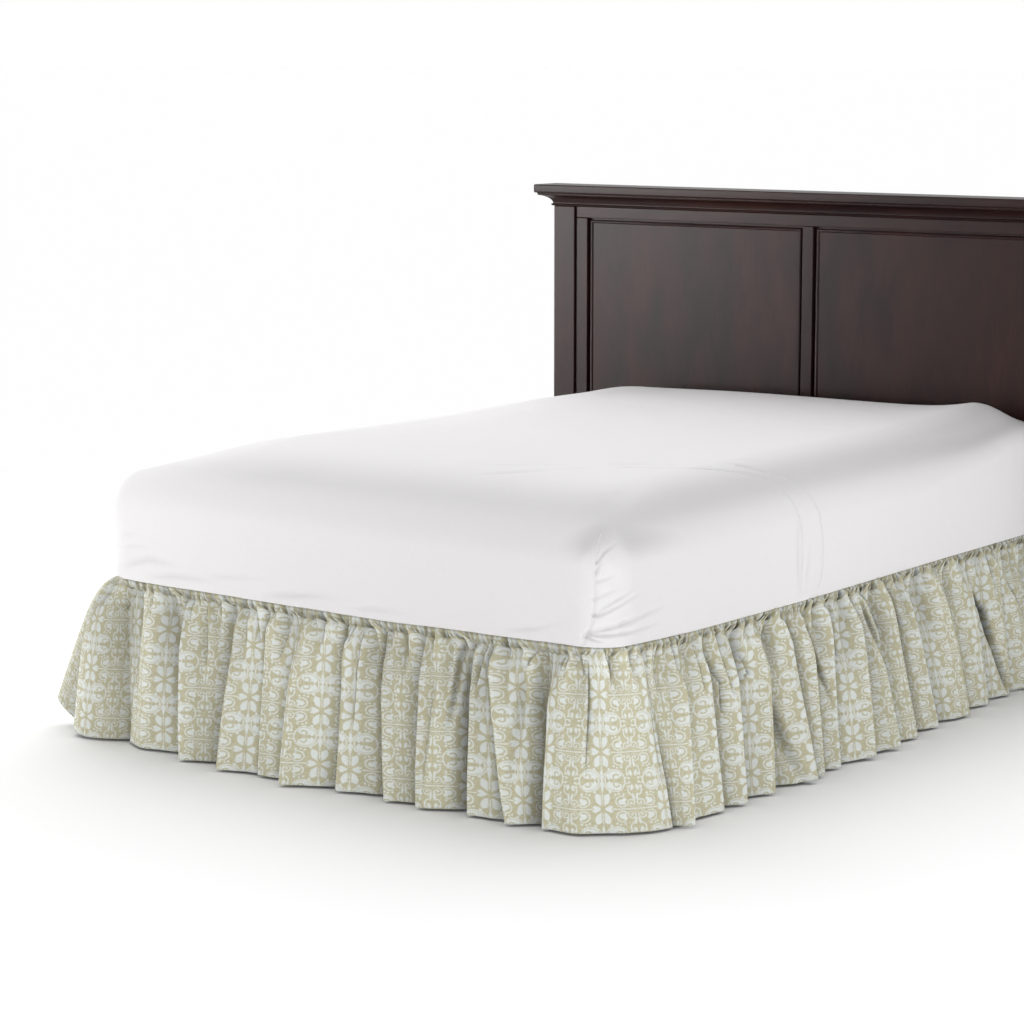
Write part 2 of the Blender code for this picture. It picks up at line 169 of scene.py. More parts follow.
# --- Colours and nodes -----------------------------------------------------------------
def linear(hex_colour):
    """An sRGB hex colour as linear red, green, blue and alpha."""
    parts = [int(hex_colour[i:i + 2], 16) / 255 for i in (1, 3, 5)]
    turned = [p / 12.92 if p <= 0.04045 else ((p + 0.055) / 1.055) ** 2.4 for p in parts]
    return (*turned, 1.0)


def connect(tree, value, socket):
    """Lead a node's first shown output, or a socket, into a socket, or set a plain value."""
    if isinstance(value, bpy.types.Node):
        value = next(output for output in value.outputs if output.enabled)
    if isinstance(value, bpy.types.NodeSocket):
        tree.links.new(value, socket)
    else:
        socket.default_value = value


def add(tree, kind, inputs=(), **settings):
    """Add a node with its settings. Inputs go to its shown sockets in turn, or by name."""
    made = tree.nodes.new("ShaderNode" + kind)
    for name, value in settings.items():
        setattr(made, name, value)
    shown = [socket for socket in made.inputs if socket.enabled]
    pairs = inputs.items() if isinstance(inputs, dict) else enumerate(inputs)
    for key, value in pairs:
        connect(tree, value, shown[key] if isinstance(key, int) else made.inputs[key])
    return made


def new_material(name, roughness, **shader_values):
    """A Principled material, and its node tree."""
    made = bpy.data.materials.new(name)
    made.use_nodes = True
    inputs = made.node_tree.nodes["Principled BSDF"].inputs
    inputs["Roughness"].default_value = roughness
    for socket, value in shader_values.items():
        inputs[socket.replace("_", " ")].default_value = value
    return made, made.node_tree


def finished(made, colour, bump):
    """Give a material its colour and its relief."""
    tree = made.node_tree
    inputs = tree.nodes["Principled BSDF"].inputs
    connect(tree, colour, inputs["Base Color"])
    connect(tree, bump, inputs["Normal"])
    return made


def speckled(name, roughness, grain, detail, colours, strength, depth, **shader_values):
    """A material whose colour and relief both follow one fine speckle."""
    made, tree = new_material(name, roughness, **shader_values)
    place = add(tree, "TexCoord").outputs["Object"]
    speckle = add(tree, "TexNoise", {"Vector": place, "Scale": 1 / grain, "Detail": detail})
    colour = add(tree, "Mix", [speckle, *map(linear, colours)], data_type="RGBA")
    bump = add(tree, "Bump", {"Height": speckle, "Strength": strength, "Distance": depth})
    return finished(made, colour, bump)


# --- The ruffle's print ----------------------------------------------------------------
REPEAT = 0.1300                 # of the print, across and down the cloth
PRINT_V_SHIFT = 0.1030          # the first rule's distance below the seam
EDGE_SOFTNESS = 0.018           # of a printed edge, as a share of half a repeat
LINE = 0.038                    # width of the print's thin lines, likewise
STEM = 0.024                    # width of the stem between a tulip's halves, likewise
LEAF_SLIT = 0.044               # half the width of the slit in a tulip, likewise


def disc(tree, place, centre, radius):
    """Signed distance to a disc, in half repeats: below 0 inside it."""
    reach = add(tree, "VectorMath", [place, (*centre, 0.0)], operation="DISTANCE")
    return add(tree, "Math", [reach, radius], operation="SUBTRACT")


def band(tree, distance, width):
    """The line of a given width that runs where a distance is 0."""
    rim = add(tree, "Math", [distance], operation="ABSOLUTE")
    return add(tree, "Math", [rim, width / 2], operation="SUBTRACT")


def both(tree, first, second):
    """What lies in both of two forms."""
    return add(tree, "Math", [first, second], operation="MAXIMUM")


def turned_about(tree, place, centre, degrees, size=(1.0, 1.0)):
    """Places as seen from a centre, turned and in units of a size."""
    return add(
        tree,
        "Mapping",
        [place, (*centre, 0.0), (0.0, 0.0, math.radians(degrees)), (*size, 1.0)],
        vector_type="TEXTURE",
    )


def oval(tree, place, centre, radii, degrees=0.0):
    """Signed distance, nearly, to a turned oval."""
    reach = add(
        tree, "VectorMath", [turned_about(tree, place, centre, degrees, radii)], operation="LENGTH"
    )
    return add(tree, "Math", [reach, min(radii), -min(radii)], operation="MULTIPLY_ADD")


def leaf(tree, place, tip, other_tip, width):
    """A leaf with two pointed tips, where two discs overlap."""
    tip, other_tip = Vector(tip), Vector(other_tip)
    run = other_tip - tip
    radius = (run.length_squared / 4 + width * width / 4) / width
    aside = Vector((-run.y, run.x)).normalized() * (radius - width / 2)
    middle = (tip + other_tip) / 2
    left = disc(tree, place, middle + aside, radius)
    right = disc(tree, place, middle - aside, radius)
    return both(tree, left, right)


def polar(tree, place, centre, degrees):
    """Distances from a centre, and angles from a direction."""
    turned = turned_about(tree, place, centre, degrees)
    reach = add(tree, "VectorMath", [turned], operation="LENGTH")
    parts = add(tree, "SeparateXYZ", [turned])
    angle = add(tree, "Math", [parts.outputs["Y"], parts.outputs["X"]], operation="ARCTAN2")
    return reach, angle


def arc(tree, place, centre, radius, width, degrees, half_sweep):
    """Part of a round line: its middle lies in a direction, its ends to either side."""
    reach, angle = polar(tree, place, centre, degrees)
    line = band(tree, add(tree, "Math", [reach, radius], operation="SUBTRACT"), width)
    aside = add(tree, "Math", [angle], operation="ABSOLUTE")
    past = add(
        tree, "Math", [aside, radius, -radius * math.radians(half_sweep)], operation="MULTIPLY_ADD"
    )
    return both(tree, line, past)


def curl(tree, place, centre, radius, pitch, width, degrees=0.0):
    """A spiral line round a centre, out to a radius, its turns one pitch apart."""
    reach, angle = polar(tree, place, centre, degrees)
    lag = add(tree, "Math", [angle, pitch / (2 * math.pi)], operation="MULTIPLY")
    spread = add(tree, "Math", [reach, lag], operation="SUBTRACT")
    turns = add(tree, "Math", [spread, pitch / 2], operation="PINGPONG")
    line = add(tree, "Math", [turns, width / 2], operation="SUBTRACT")
    return both(tree, line, add(tree, "Math", [reach, radius], operation="SUBTRACT"))


# The print's plain figures, in half repeats: each form with its own numbers.
PRINT_FORMS = (
    (leaf, (0.045, -0.03), (0.31, 0.09), 0.13),          # sideways hearts
    (disc, (0.222, 0.058), 0.066),
    (leaf, (0.0, 0.58), (0.0, 1.05), 0.10),              # the stem's bud and twigs
    (arc, (0.44, 0.98), 0.40, LINE, 213.0, 29.0),
    (disc, (0.235, 0.600), 0.042),
    (disc, (0.462, 0.868), 0.050),                       # beads and bows in the big rings
    (arc, (0.785, 0.965), 0.070, LINE, 255.0, 75.0),
    (disc, (0.850, 0.925), 0.038),
    (arc, (0.585, 0.265), 0.185, LINE, 195.0, 130.0),    # leaves by the rule
    (oval, (0.575, 0.250), (0.105, 0.090), 20.0),
    (disc, (0.655, 0.330), 0.058),
    (disc, (0.650, 0.190), 0.045),
    (curl, (0.880, 0.215), 0.140, 0.098, LINE, 60.0),    # curls by the rule
    (leaf, (0.965, 0.26), (0.93, 0.56), 0.07),
    (arc, (0.985, 0.660), 0.195, LINE, 190.0, 62.0),     # stems and petals
    (disc, (0.795, 0.780), 0.034),
    (oval, (0.915, 0.745), (0.050, 0.098), -12.0),
    (disc, (0.640, 0.520), 0.036),
    (disc, (0.500, 0.540), 0.030),
    (disc, (0.400, 0.500), 0.034),
)
RULE_END = 0.31                 # where the rule stops, before the hearts
STEM_START = 0.17               # where the tulips' stem begins, above the rule


def print_figures(tree, cloth_map):
    """How far a point of the cloth is from the print's figures: below 0 on them.

    A traditional scroll print of this part's own drawing. A quarter of the repeat is drawn,
    from x = 0 to 1 and y = 0 to 1, and mirrored both ways.
    """
    parts = add(tree, "SeparateXYZ", [cloth_map])
    half = REPEAT / 2
    shifted = add(tree, "Math", [parts.outputs["Y"], PRINT_V_SHIFT], operation="SUBTRACT")
    folded = [
        add(tree, "Math", [way, half], operation="PINGPONG")
        for way in (parts.outputs["X"], shifted)
    ]
    x, y = (add(tree, "Math", [way, half], operation="DIVIDE") for way in folded)
    place = add(tree, "CombineXYZ", [x, y])

    rule, stem, past_heart, past_knot, off_axis = (
        add(tree, "Math", [far, near], operation="SUBTRACT")
        for far, near in (
            (y, LINE / 2), (x, STEM / 2), (RULE_END, x), (STEM_START, y), (LEAF_SLIT, x),
        )
    )
    tulip = leaf(tree, place, (0.0, 0.11), (0.19, 0.54), 0.24)
    plump = oval(tree, place, (0.405, 0.805), (0.215, 0.135), -6.0)
    tail = leaf(tree, place, (0.215, 0.74), (0.225, 0.985), 0.13)
    scroll = add(tree, "Math", [plump, tail], operation="MINIMUM")
    notch = arc(tree, place, (0.450, 0.870), 0.088, 0.046, 235.0, 105.0)
    clear = add(tree, "Math", [notch, -1.0], operation="MULTIPLY")
    figures = [
        both(tree, rule, past_heart),
        both(tree, tulip, off_axis),
        both(tree, stem, past_knot),
        band(tree, oval(tree, place, (0.41, 1.0), (0.305, 0.375)), LINE),
        both(tree, scroll, clear),
        *(form(tree, place, *numbers) for form, *numbers in PRINT_FORMS),
    ]
    whole = figures[0]
    for figure in figures[1:]:
        whole = add(tree, "Math", [whole, figure], operation="MINIMUM")
    return whole


# --- Materials -------------------------------------------------------------------------
def printed_cotton():
    """Plain-woven cotton with a pigment print: a matte sage khaki ground, off-white scrolls
    with slightly soft edges, and a fine linen-like fleck in the yarn."""
    made, tree = new_material("Printed cotton", 0.86, Specular_IOR_Level=0.25)
    cloth_map = add(tree, "UVMap", uv_map="Cloth")
    shaky = add(tree, "TexNoise", {"Vector": cloth_map, "Scale": 1 / 0.006, "Detail": 1.0})
    shift = add(tree, "Math", [shaky, 0.5], operation="SUBTRACT")
    edge = print_figures(tree, cloth_map)
    rough_edge = add(tree, "Math", [shift, 0.030, edge], operation="MULTIPLY_ADD")
    ink = add(tree, "MapRange", [rough_edge, -EDGE_SOFTNESS, EDGE_SOFTNESS, 1.0, 0.0])

    # Yarns are 0.4 mm apart; they are drawn 1.6 mm apart so that the cloth keeps its grain.
    fine, slow = 1 / 0.0016, 0.12 / 0.0016
    yarns = (
        add(tree, "Mapping", {"Vector": cloth_map, "Scale": (*stretch, 1.0)})
        for stretch in ((slow, fine), (fine, slow))
    )
    weft, warp = (
        add(tree, "TexNoise", {"Vector": yarn, "Scale": 1.0, "Detail": 2.0}) for yarn in yarns
    )
    weave = add(tree, "Math", [weft, warp], operation="ADD")
    fleck = add(tree, "MapRange", [weave, 0.75, 1.25, 0.0, 1.0])
    ground, figure = (
        add(tree, "Mix", [fleck, linear(dark), linear(light)], data_type="RGBA")
        for dark, light in (("#B8B394", "#CFCBB1"), ("#D9DEDA", "#E7EAE6"))
    )
    printed = add(tree, "Mix", [ink, ground, figure], data_type="RGBA")

    # Painted shade and highlight: the colour is darkened in the gathers and folds, where little
    # light reaches, and made a little lighter along the crests.
    shade = add(tree, "Attribute", attribute_name="shade").outputs["Fac"]
    with_painted_light = add(tree, "VectorMath", [printed, shade], operation="MULTIPLY")
    bump = add(tree, "Bump", {"Height": weave, "Strength": 0.25, "Distance": 0.0004})
    return finished(made, with_painted_light, bump)


def plain_cotton():
    """Unbleached plain-woven cotton, as a bed skirt's hidden deck is: matte, warm white."""
    return speckled(
        "Plain cotton", 0.9, grain=0.004, detail=3.0, colours=("#DDD8CC", "#EDE9E0"),
        strength=0.2, depth=0.0004, Specular_IOR_Level=0.2,
    )


def sheet_cotton():
    """Smooth white percale of a fitted sheet: a faint sheen and very soft small rumples."""
    made, tree = new_material("White percale", 0.72, Specular_IOR_Level=0.3, Sheen_Weight=0.08)
    place = add(tree, "TexCoord").outputs["Object"]
    thread = add(tree, "TexNoise", {"Vector": place, "Scale": 1 / 0.003, "Detail": 2.0})
    rumple = add(
        tree, "TexNoise", {"Vector": place, "Scale": 1 / 0.16, "Detail": 2.0, "Distortion": 0.4}
    )
    colour = add(tree, "Mix", [thread, linear("#E0DEDF"), linear("#E9E7E8")], data_type="RGBA")
    # Painted shade and light: the colour is darkened along the top edges and in the creases, and
    # lightened on the right side.
    shade = add(tree, "Attribute", attribute_name="shade").outputs["Fac"]
    with_painted_light = add(tree, "VectorMath", [colour, shade], operation="MULTIPLY")
    broad = add(tree, "Bump", {"Height": rumple, "Strength": 0.35, "Distance": 0.012})
    fine = add(
        tree, "Bump", {"Height": thread, "Strength": 0.08, "Distance": 0.0004, "Normal": broad}
    )
    return finished(made, with_painted_light, fine)


def ticking_cloth():
    """Woven ticking on the foundation: off-white twill with narrow grey-blue stripes."""
    made, tree = new_material("Ticking", 0.88, Specular_IOR_Level=0.2)
    place = add(tree, "TexCoord").outputs["Object"]
    parts = add(tree, "SeparateXYZ", [place])
    stripe = add(tree, "Math", [parts.outputs["X"], 0.012], operation="PINGPONG")
    line = add(tree, "MapRange", [stripe, 0.0016, 0.0022, 1.0, 0.0])
    slub = add(tree, "TexNoise", {"Vector": place, "Scale": 1 / 0.003})
    colour = add(tree, "Mix", [line, linear("#D6D2C8"), linear("#8E96A0")], data_type="RGBA")
    bump = add(tree, "Bump", {"Height": slub, "Strength": 0.2, "Distance": 0.0004})
    return finished(made, colour, bump)


def painted_steel():
    """Powder-coated steel: satin near-black with the coat's fine orange peel."""
    return speckled(
        "Powder-coated steel", 0.48, grain=0.0035, detail=1.0, colours=("#26262A", "#303035"),
        strength=0.15, depth=0.0003,
    )


def stained_wood(name, along):
    """Birch veneer and solid wood, stained espresso and lacquered: nearly black brown, with
    redder brown where the stain is thin and fine darker grain along the board."""
    made, tree = new_material(
        name, 0.36, Specular_IOR_Level=0.12, Coat_Weight=0.03, Coat_Roughness=0.25
    )
    place = add(tree, "TexCoord").outputs["Object"]
    lengthwise, clouded = (
        add(tree, "Mapping", {
            "Vector": place, "Scale": [stretch if axis == along else 1.0 for axis in "XYZ"],
        })
        for stretch in (0.07, 0.35)
    )
    grain = add(tree, "TexNoise", {
        "Vector": lengthwise, "Scale": 1 / 0.0045, "Detail": 6.0, "Roughness": 0.62,
    })
    cloud = add(tree, "TexNoise", {
        "Vector": clouded, "Scale": 1 / 0.11, "Detail": 3.0, "Roughness": 0.5,
        "Distortion": 0.4,
    })
    patch = add(tree, "MapRange", [cloud, 0.34, 0.78, 0.0, 1.0])
    stained = add(tree, "Mix", [patch, linear("#201313"), linear("#301B16")], data_type="RGBA")
    streak = add(tree, "MapRange", [grain, 0.30, 0.72, 0.78, 1.12])
    coloured = add(tree, "VectorMath", [stained, streak], operation="MULTIPLY")
    bump = add(tree, "Bump", {"Height": grain, "Strength": 0.10, "Distance": 0.0005})
    return finished(made, coloured, bump)


def studio_floor():
    """A painted studio floor: matte near-white."""
    white = linear("#FCFCFC")
    return new_material("Studio floor", 0.95, Specular_IOR_Level=0.1, Base_Color=white)[0]


# --- The ruffle ------------------------------------------------------------------------
# One row for each fold, in millimetres. Nearly as in the part that carries the solids, where
# the right side's valleys are less deep.
#   at      the crest's place at the hem, from the bed's middle along its side
#   out     how far the crest stands out from the deck's edge at the hem
#   dip     how far out the valley behind it lies, on the way to the next row
#   lean    how much further along the same side the crest is at the top
FOOT_FOLDS = (
    (-613, 36, 2, 21),
    (-455, 62, 14, -25),
    (-318, 81, 44, 12),
    (-202, 65, 58, -14),
    (-105, 97, 30, -6),
    (37, 69, 8, -3),
    (183, 70, 30, -48),
    (278, 75, -4, -18),
    (410, 56, 22, -19),
    (522, 66, -4, -73),
)
CORNER_PANEL = ((611, 45, 24, -8),)
CORNER_EDGE = ((852, 78, 64, -16),)
RIGHT_FOLDS = (
    (-832, 107, 78, 73),
    (-683, 84, 46, 13),
    (-604, 102, 44, 24),
    (-487, 96, 30, 55),
    (-337, 121, 78, 21),
    (-279, 108, 50, 39),
    (-190, 103, 48, 48),
    (-54, 120, 66, 44),
    (65, 118, 64, -19),
    (191, 99, 32, -58),
    (324, 83, 28, -100),
    (483, 89, 18, -85),
    (626, 65, 20, -69),
    (765, 60, 22, -40),
    (888, 62, 26, -60),
)
LEFT_CORNER_FOLDS = (
    (11, 231, 112, 8),
    (50, 130, -8, 16),
)
LEFT_SHIFT = 26                 # the hidden left side has the right side's folds, shifted
LEFT_FOLDS = tuple((at + LEFT_SHIFT, out, dip, lean) for at, out, dip, lean in RIGHT_FOLDS)

# Creases that show in the photo, in millimetres: where each begins and ends along its side
# and down the cloth, how deep and how wide it is.
#   at, down, end_at, end_down, depth, width
FOOT_CREASES = (
    (-650, 4, -706, 72, 11, 8),
    (-644, 60, -648, 330, 7, 12),
    (-503, 6, -504, 46, 8, 6),
    (-459, 4, -455, 60, 8, 6),
    (-421, 18, -410, 165, 7, 8),
    (41, 4, 31, 84, 8, 7),
    (70, 8, 66, 240, 8, 8),
    (28, 60, 38, 400, 7, 15),
    (52, 6, 46, 50, 7, 6),
    (297, 30, 284, 400, 8, 16),
    (360, 6, 338, 210, 9, 14),
    (556, 6, 538, 50, 10, 7),
    (532, 50, 524, 390, 8, 16),
    (684, 4, 684, 52, 8, 6),
    (668, 2, 660, 40, 7, 6),
    (640, 3, 626, 44, 8, 6),
    (-250, 10, -240, 90, 6, 8),
    (-150, 8, -165, 120, 6, 8),
    (150, 8, 132, 130, 6, 8),
    (430, 8, 410, 110, 7, 8),
)
RIGHT_CREASES = (
    (-879, 12, -873, 36, 9, 6),
    (-873, 34, -893, 52, 9, 6),
    (-893, 50, -886, 300, 5, 7),
    (-556, 18, -512, 88, 10, 8),
    (-512, 86, -502, 122, 9, 8),
    (-502, 120, -545, 146, 8, 8),
    (-430, 30, -424, 190, 10, 20),
    (-424, 186, -372, 400, 11, 24),
    (582, 70, 664, 160, 16, 14),
    (664, 156, 698, 252, 20, 18),
    (698, 248, 760, 400, 16, 20),
    (803, 106, 860, 202, 8, 10),
    (860, 200, 892, 340, 8, 12),
    (-780, 20, -765, 190, 7, 10),
    (-660, 36, -622, 118, 12, 9),
    (-622, 114, -628, 184, 10, 8),
    (-140, 16, -108, 84, 12, 8),
    (36, 10, 74, 54, 12, 8),
    (74, 50, 104, 110, 10, 8),
    (140, 8, 178, 62, 12, 8),
    (178, 58, 216, 126, 10, 8),
    (-700, 12, -690, 120, 7, 8),
    (-610, 16, -600, 150, 7, 9),
    (-230, 30, -190, 220, 8, 12),
    (-130, 20, -100, 150, 7, 9),
    (20, 24, 60, 200, 8, 12),
    (240, 20, 262, 130, 7, 9),
    (400, 26, 448, 200, 9, 12),
)

STRAIGHT_SIDE = DECK_HEAD_Y - DECK_FOOT_Y - DECK_CORNER
STRAIGHT_FOOT = 2 * (DECK_HALF_X - DECK_CORNER)
ARC = math.pi / 2 * DECK_CORNER
FOOT_MIDDLE = STRAIGHT_SIDE + ARC + STRAIGHT_FOOT / 2
EDGE_LENGTH = 2 * FOOT_MIDDLE
RIGHT_MIDDLE = EDGE_LENGTH - DECK_HEAD_Y

# The stretches of the ruffle, in order along the deck's edge from the left side's head end.
#   start     the place along that edge from which the stretch's folds are measured
#   way       1 where they run along the edge, -1 where they run against it
#   valley    how far along a fold, from its crest to the next, its valley lies
#   undercut  how far a valley is drawn back under the crest that hides it, in folds
#   pitch     the distance between columns of the mesh
STRETCHES = (
    # name, folds, start, way, valley, undercut, pitch
    ("left", LEFT_FOLDS[::-1], DECK_HEAD_Y, -1, 0.72, 0.20, 0.0052),
    ("left_corner", LEFT_CORNER_FOLDS, STRAIGHT_SIDE, 1, 0.42, 0.0, 0.0028),
    ("foot", FOOT_FOLDS, FOOT_MIDDLE, 1, 0.72, 0.29, 0.0019),
    ("corner", CORNER_PANEL, FOOT_MIDDLE, 1, 0.50, 0.0, 0.0024),
    ("corner_edge", CORNER_EDGE, FOOT_MIDDLE, 1, 0.30, -0.22, 0.0024),
    ("right", RIGHT_FOLDS[:9], RIGHT_MIDDLE, 1, 0.26, -0.38, 0.0020),
    ("right_head", RIGHT_FOLDS[9:], RIGHT_MIDDLE, 1, 0.26, -0.38, 0.0022),
)

PRINT_AXIS = FOOT_MIDDLE + 0.613    # where a column of figures runs down the corner fold
LAST_DOWN = 0.406               # of the hem below the seam, on a crest that reaches the floor
SEAM_OUT = 0.0005               # how far the seam itself lies out from the deck's edge
HEADING_OUT = 0.0145            # how far the gathered heading stands out from the seam
HEADING_DEPTH = 0.008           # over which it rounds out below the seam
HEADING_RISE = 0.0085           # of the puffed heading over the seam
HEADING_ROUND = 0.0062          # below the seam, about which it puffs up
PUFF_CREASE = 0.0060            # the depth of crease at which the heading no longer puffs up
SWING_REACH = 0.038             # below the seam, over which the folds open
FLARE_POWER = 1.12              # 1 where the cloth flares evenly, more where it does so low down
CRISPNESS = 0.70                # the share of a fold's slope that is straight
TUCK_REACH = 0.018              # below the seam, over which the folds tuck under each other
TUCK_AT_SEAM = 0.15             # how far along that reach a gather's tuck is at the seam itself
VALLEY_LIMIT = -0.010           # out from the deck's edge: no valley lies further in than this
FIRST_ROW, ROW_GROWTH, MOST_ROW = 0.00045, 1.16, 0.0082     # steps between the mesh's rows
LEAST_COLUMNS = 8               # of the mesh in one fold


def deck_edge(along):
    """Points of the deck's edge, and its outward directions, at lengths along it."""
    from_middle = along - FOOT_MIDDLE
    side, far = np.sign(from_middle), np.abs(from_middle)
    turn = np.clip((far - STRAIGHT_FOOT / 2) / DECK_CORNER, 0.0, math.pi / 2)
    normal = np.stack((side * np.sin(turn), -np.cos(turn)), axis=-1)
    corner_x = side * np.minimum(far, STRAIGHT_FOOT / 2)
    corner_y = DECK_FOOT_Y + DECK_CORNER + np.maximum(far - STRAIGHT_FOOT / 2 - ARC, 0.0)
    return np.stack((corner_x, corner_y), axis=-1) + DECK_CORNER * normal, normal


def ruffle_rows():
    """Distances below the seam: close together in the heading, wider apart below it."""
    rows, step = [0.0], FIRST_ROW
    while rows[-1] + step < LAST_DOWN:
        rows.append(rows[-1] + step)
        step = min(step * ROW_GROWTH, MOST_ROW)
    return np.array(rows) * LAST_DOWN / rows[-1]


def ruffle_folds():
    """Every fold in turn: hem, top, out, dip, valley, undercut, pitch and stretch."""
    folds = []
    for name, rows, start, way, *manner in STRETCHES:
        for at, out, dip, lean in rows:
            hem = start + way * at * MM
            folds.append((hem, hem + way * lean * MM, out * MM, dip * MM, *manner, name))
    first = (0.0, 0.0, *folds[0][2:])
    last = (EDGE_LENGTH, EDGE_LENGTH, *folds[-1][2:])
    return [first, *folds, last]


def fold_profile(share):
    """From a valley to a crest: partly a straight slope, so that the crest is crisp."""
    return CRISPNESS * share + (1 - CRISPNESS) * (0.5 - 0.5 * np.cos(math.pi * share))


def ruffle_columns():
    """The ruffle's columns, and the column where each stretch begins.

    A column is its place at the hem, its place at the top, how far out it is at the hem, how
    far out the fold's middle is there, and how far it is drawn back under a crest.
    """
    folds = ruffle_folds()
    middles = [(out + dip) / 2 for _, _, out, dip, *_ in folds]
    columns, begins, made = [], {}, 0
    for index, (fold, after) in enumerate(zip(folds, folds[1:])):
        hem, top, out, dip, valley, undercut, pitch, name = fold
        gap, top_gap = after[0] - hem, after[1] - top
        count = max(LEAST_COLUMNS, math.ceil(max(gap, top_gap) / pitch))
        share = np.arange(count) / count
        fall = 1.0 - fold_profile(np.minimum(share / valley, 1.0))
        climb = fold_profile(np.clip((share - valley) / (1 - valley), 0.0, 1.0))
        rise = np.where(share < valley, fall, climb)
        target = np.where(share < valley, out, after[2])
        if name != after[7]:
            begins[after[7]] = made + int(round(valley * count))
        columns.append((
            hem + share * gap,
            top + share * top_gap,
            dip + (target - dip) * rise,
            middles[index] + share * (middles[index + 1] - middles[index]),
            (1.0 - rise) * undercut * gap,
        ))
        made += count
    columns.append(np.array((*folds[-1][:3], middles[-1], 0.0))[:, None])
    return np.hstack(columns).T, begins


GATHER_SEED = 11
CREASE_TUCK = 1.1               # how far a crease slips under the fold beside it, per depth
RIGHT_SIDE_START = FOOT_MIDDLE + 0.700  # from there on, creases tuck and slant the other way

# The kinds of crease that the gathering makes: the step from one to the next, the depth, the
# width and the length, each from least to most, in millimetres, and how far they slant.
GATHERS = (
    dict(step=(8.0, 19.0), depth=(4.0, 8.5), width=(2.0, 3.6), length=(8, 52), slant=0.55),
    dict(step=(19, 42), depth=(6.0, 11.0), width=(3.2, 5.2), length=(30, 130), slant=0.34),
    dict(step=(40, 84), depth=(7.0, 11.0), width=(4.4, 7.0), length=(120, 260), slant=0.16),
    dict(step=(70, 140), depth=(4.0, 7.0), width=(8.0, 13.0), length=(260, 420), slant=0.05),
)
SLANTS = (-0.25, 1.4)           # a gather's least and most slant, as shares of its kind's
GATHER_START = 0.004            # below the seam, over which a gather deepens
GATHER_AT_SEAM = 0.25           # how far along that start a gather is at the seam itself
GATHER_HELD = 0.25              # the share of its length over which a gather keeps its depth
GENTLE_SIDE = 2.6               # how much wider a crease's open side is than its tucked side
GENTLE_RIGHT = 1.25             # the same on the bed's right side
DEEPEST_CREASE = 0.015
SOFT_WIDTH = 11                 # in millimetres: a crease this wide is soft and open
CRISP_ENDS, SOFT_ENDS = 0.12, 0.30  # to either side of a crease's ends, over which it fades
CREASE_SPREAD = 0.45            # the share of a crease's width by which its section spreads
GATHER_REACH, REACH_MARGIN = 12, 0.010  # widths, and metres more, past which a gather is gone


def gather_rows():
    """The creases of the gathering: top place, slant, depth, width and length of each.

    Each kind is spread along the seam by steps of random size, always from the same seed.
    """
    random = np.random.default_rng(GATHER_SEED)
    rows = []
    for kind in GATHERS:
        place = random.uniform(*kind["step"]) * MM
        while place < EDGE_LENGTH:
            side = -1.0 if place < RIGHT_SIDE_START else 1.0
            rows.append((
                place,
                side * random.uniform(*SLANTS) * kind["slant"],
                random.uniform(*kind["depth"]) * MM,
                random.uniform(*kind["width"]) * MM,
                random.uniform(*kind["length"]) * MM,
            ))
            place += random.uniform(*kind["step"]) * MM
    return rows


def trough(off, width, way):
    """A crease's section. Where it tucks under a fold (way 1 or -1), that side is steep."""
    sides = np.where(off * way > 0, 1.0, GENTLE_SIDE if way > 0 else GENTLE_RIGHT)
    return np.exp(-(off / (width * sides)) ** 2)


def crease_depths(columns, rows, along):
    """How far the gathers and creases draw the cloth in at each point of the ruffle.

    Returns the creases that tuck under the fold beside them, and the soft, open ones.
    """
    top = columns[:, 1]
    tucked = np.zeros((len(columns), len(rows)))
    open_ones = np.zeros_like(tucked)
    for place, slant, deep, wide, length in gather_rows():
        way = 1.0 if place < RIGHT_SIDE_START else -1.0
        reach = REACH_MARGIN + wide * GATHER_REACH + abs(slant) * length
        near = np.abs(top - place) < reach
        if not near.any():
            continue
        spread = wide * (1.0 + rows / length)
        lean = slant * length * 0.5 * (1 - np.exp(-rows / (length * 0.5)))
        off = top[near, None] - place - lean
        fade = ease(rows / GATHER_START + GATHER_AT_SEAM)
        fade = fade * (1.0 - ramp(rows / length, GATHER_HELD, 1.0))
        tucked[near] += deep * fade * trough(off, spread, way)
    sides = ((FOOT_CREASES, FOOT_MIDDLE, 1.0), (RIGHT_CREASES, RIGHT_MIDDLE, -1.0))
    for table, start, way in sides:
        for at, down, end_at, end_down, deep, wide in table:
            run = (rows - down * MM) / ((end_down - down) * MM)
            off = along - start - (at + (end_at - at) * run) * MM
            soft = wide >= SOFT_WIDTH
            ends = SOFT_ENDS if soft else CRISP_ENDS
            fade = ramp(run, -ends, ends) * ramp(run, 1 + ends, 1 - ends)
            section = trough(off, wide * MM * CREASE_SPREAD, 0.0 if soft else way)
            (open_ones if soft else tucked)[:] += deep * MM * fade * section
    return DEEPEST_CREASE * np.tanh(tucked / DEEPEST_CREASE), open_ones


WAVES = (
    # length (m), height (mm), turn down the cloth, start
    (0.071, 1.5, 1.3, 0.4),
    (0.113, 2.0, -2.1, 1.9),
    (0.187, 2.4, 2.6, 4.1),
    (0.039, 0.8, 0.9, 2.7),
)


def soft_waves(columns, rows):
    """Slow, shallow unevenness of the hanging cloth, nothing at the seam."""
    hem = columns[:, :1]
    drop = rows / LAST_DOWN
    height = np.zeros((len(columns), len(rows)))
    for length, high, turn, start in WAVES:
        height += high * MM * np.sin(2 * math.pi * hem / length + turn * drop + start)
    return height * ease(drop * 3.0)


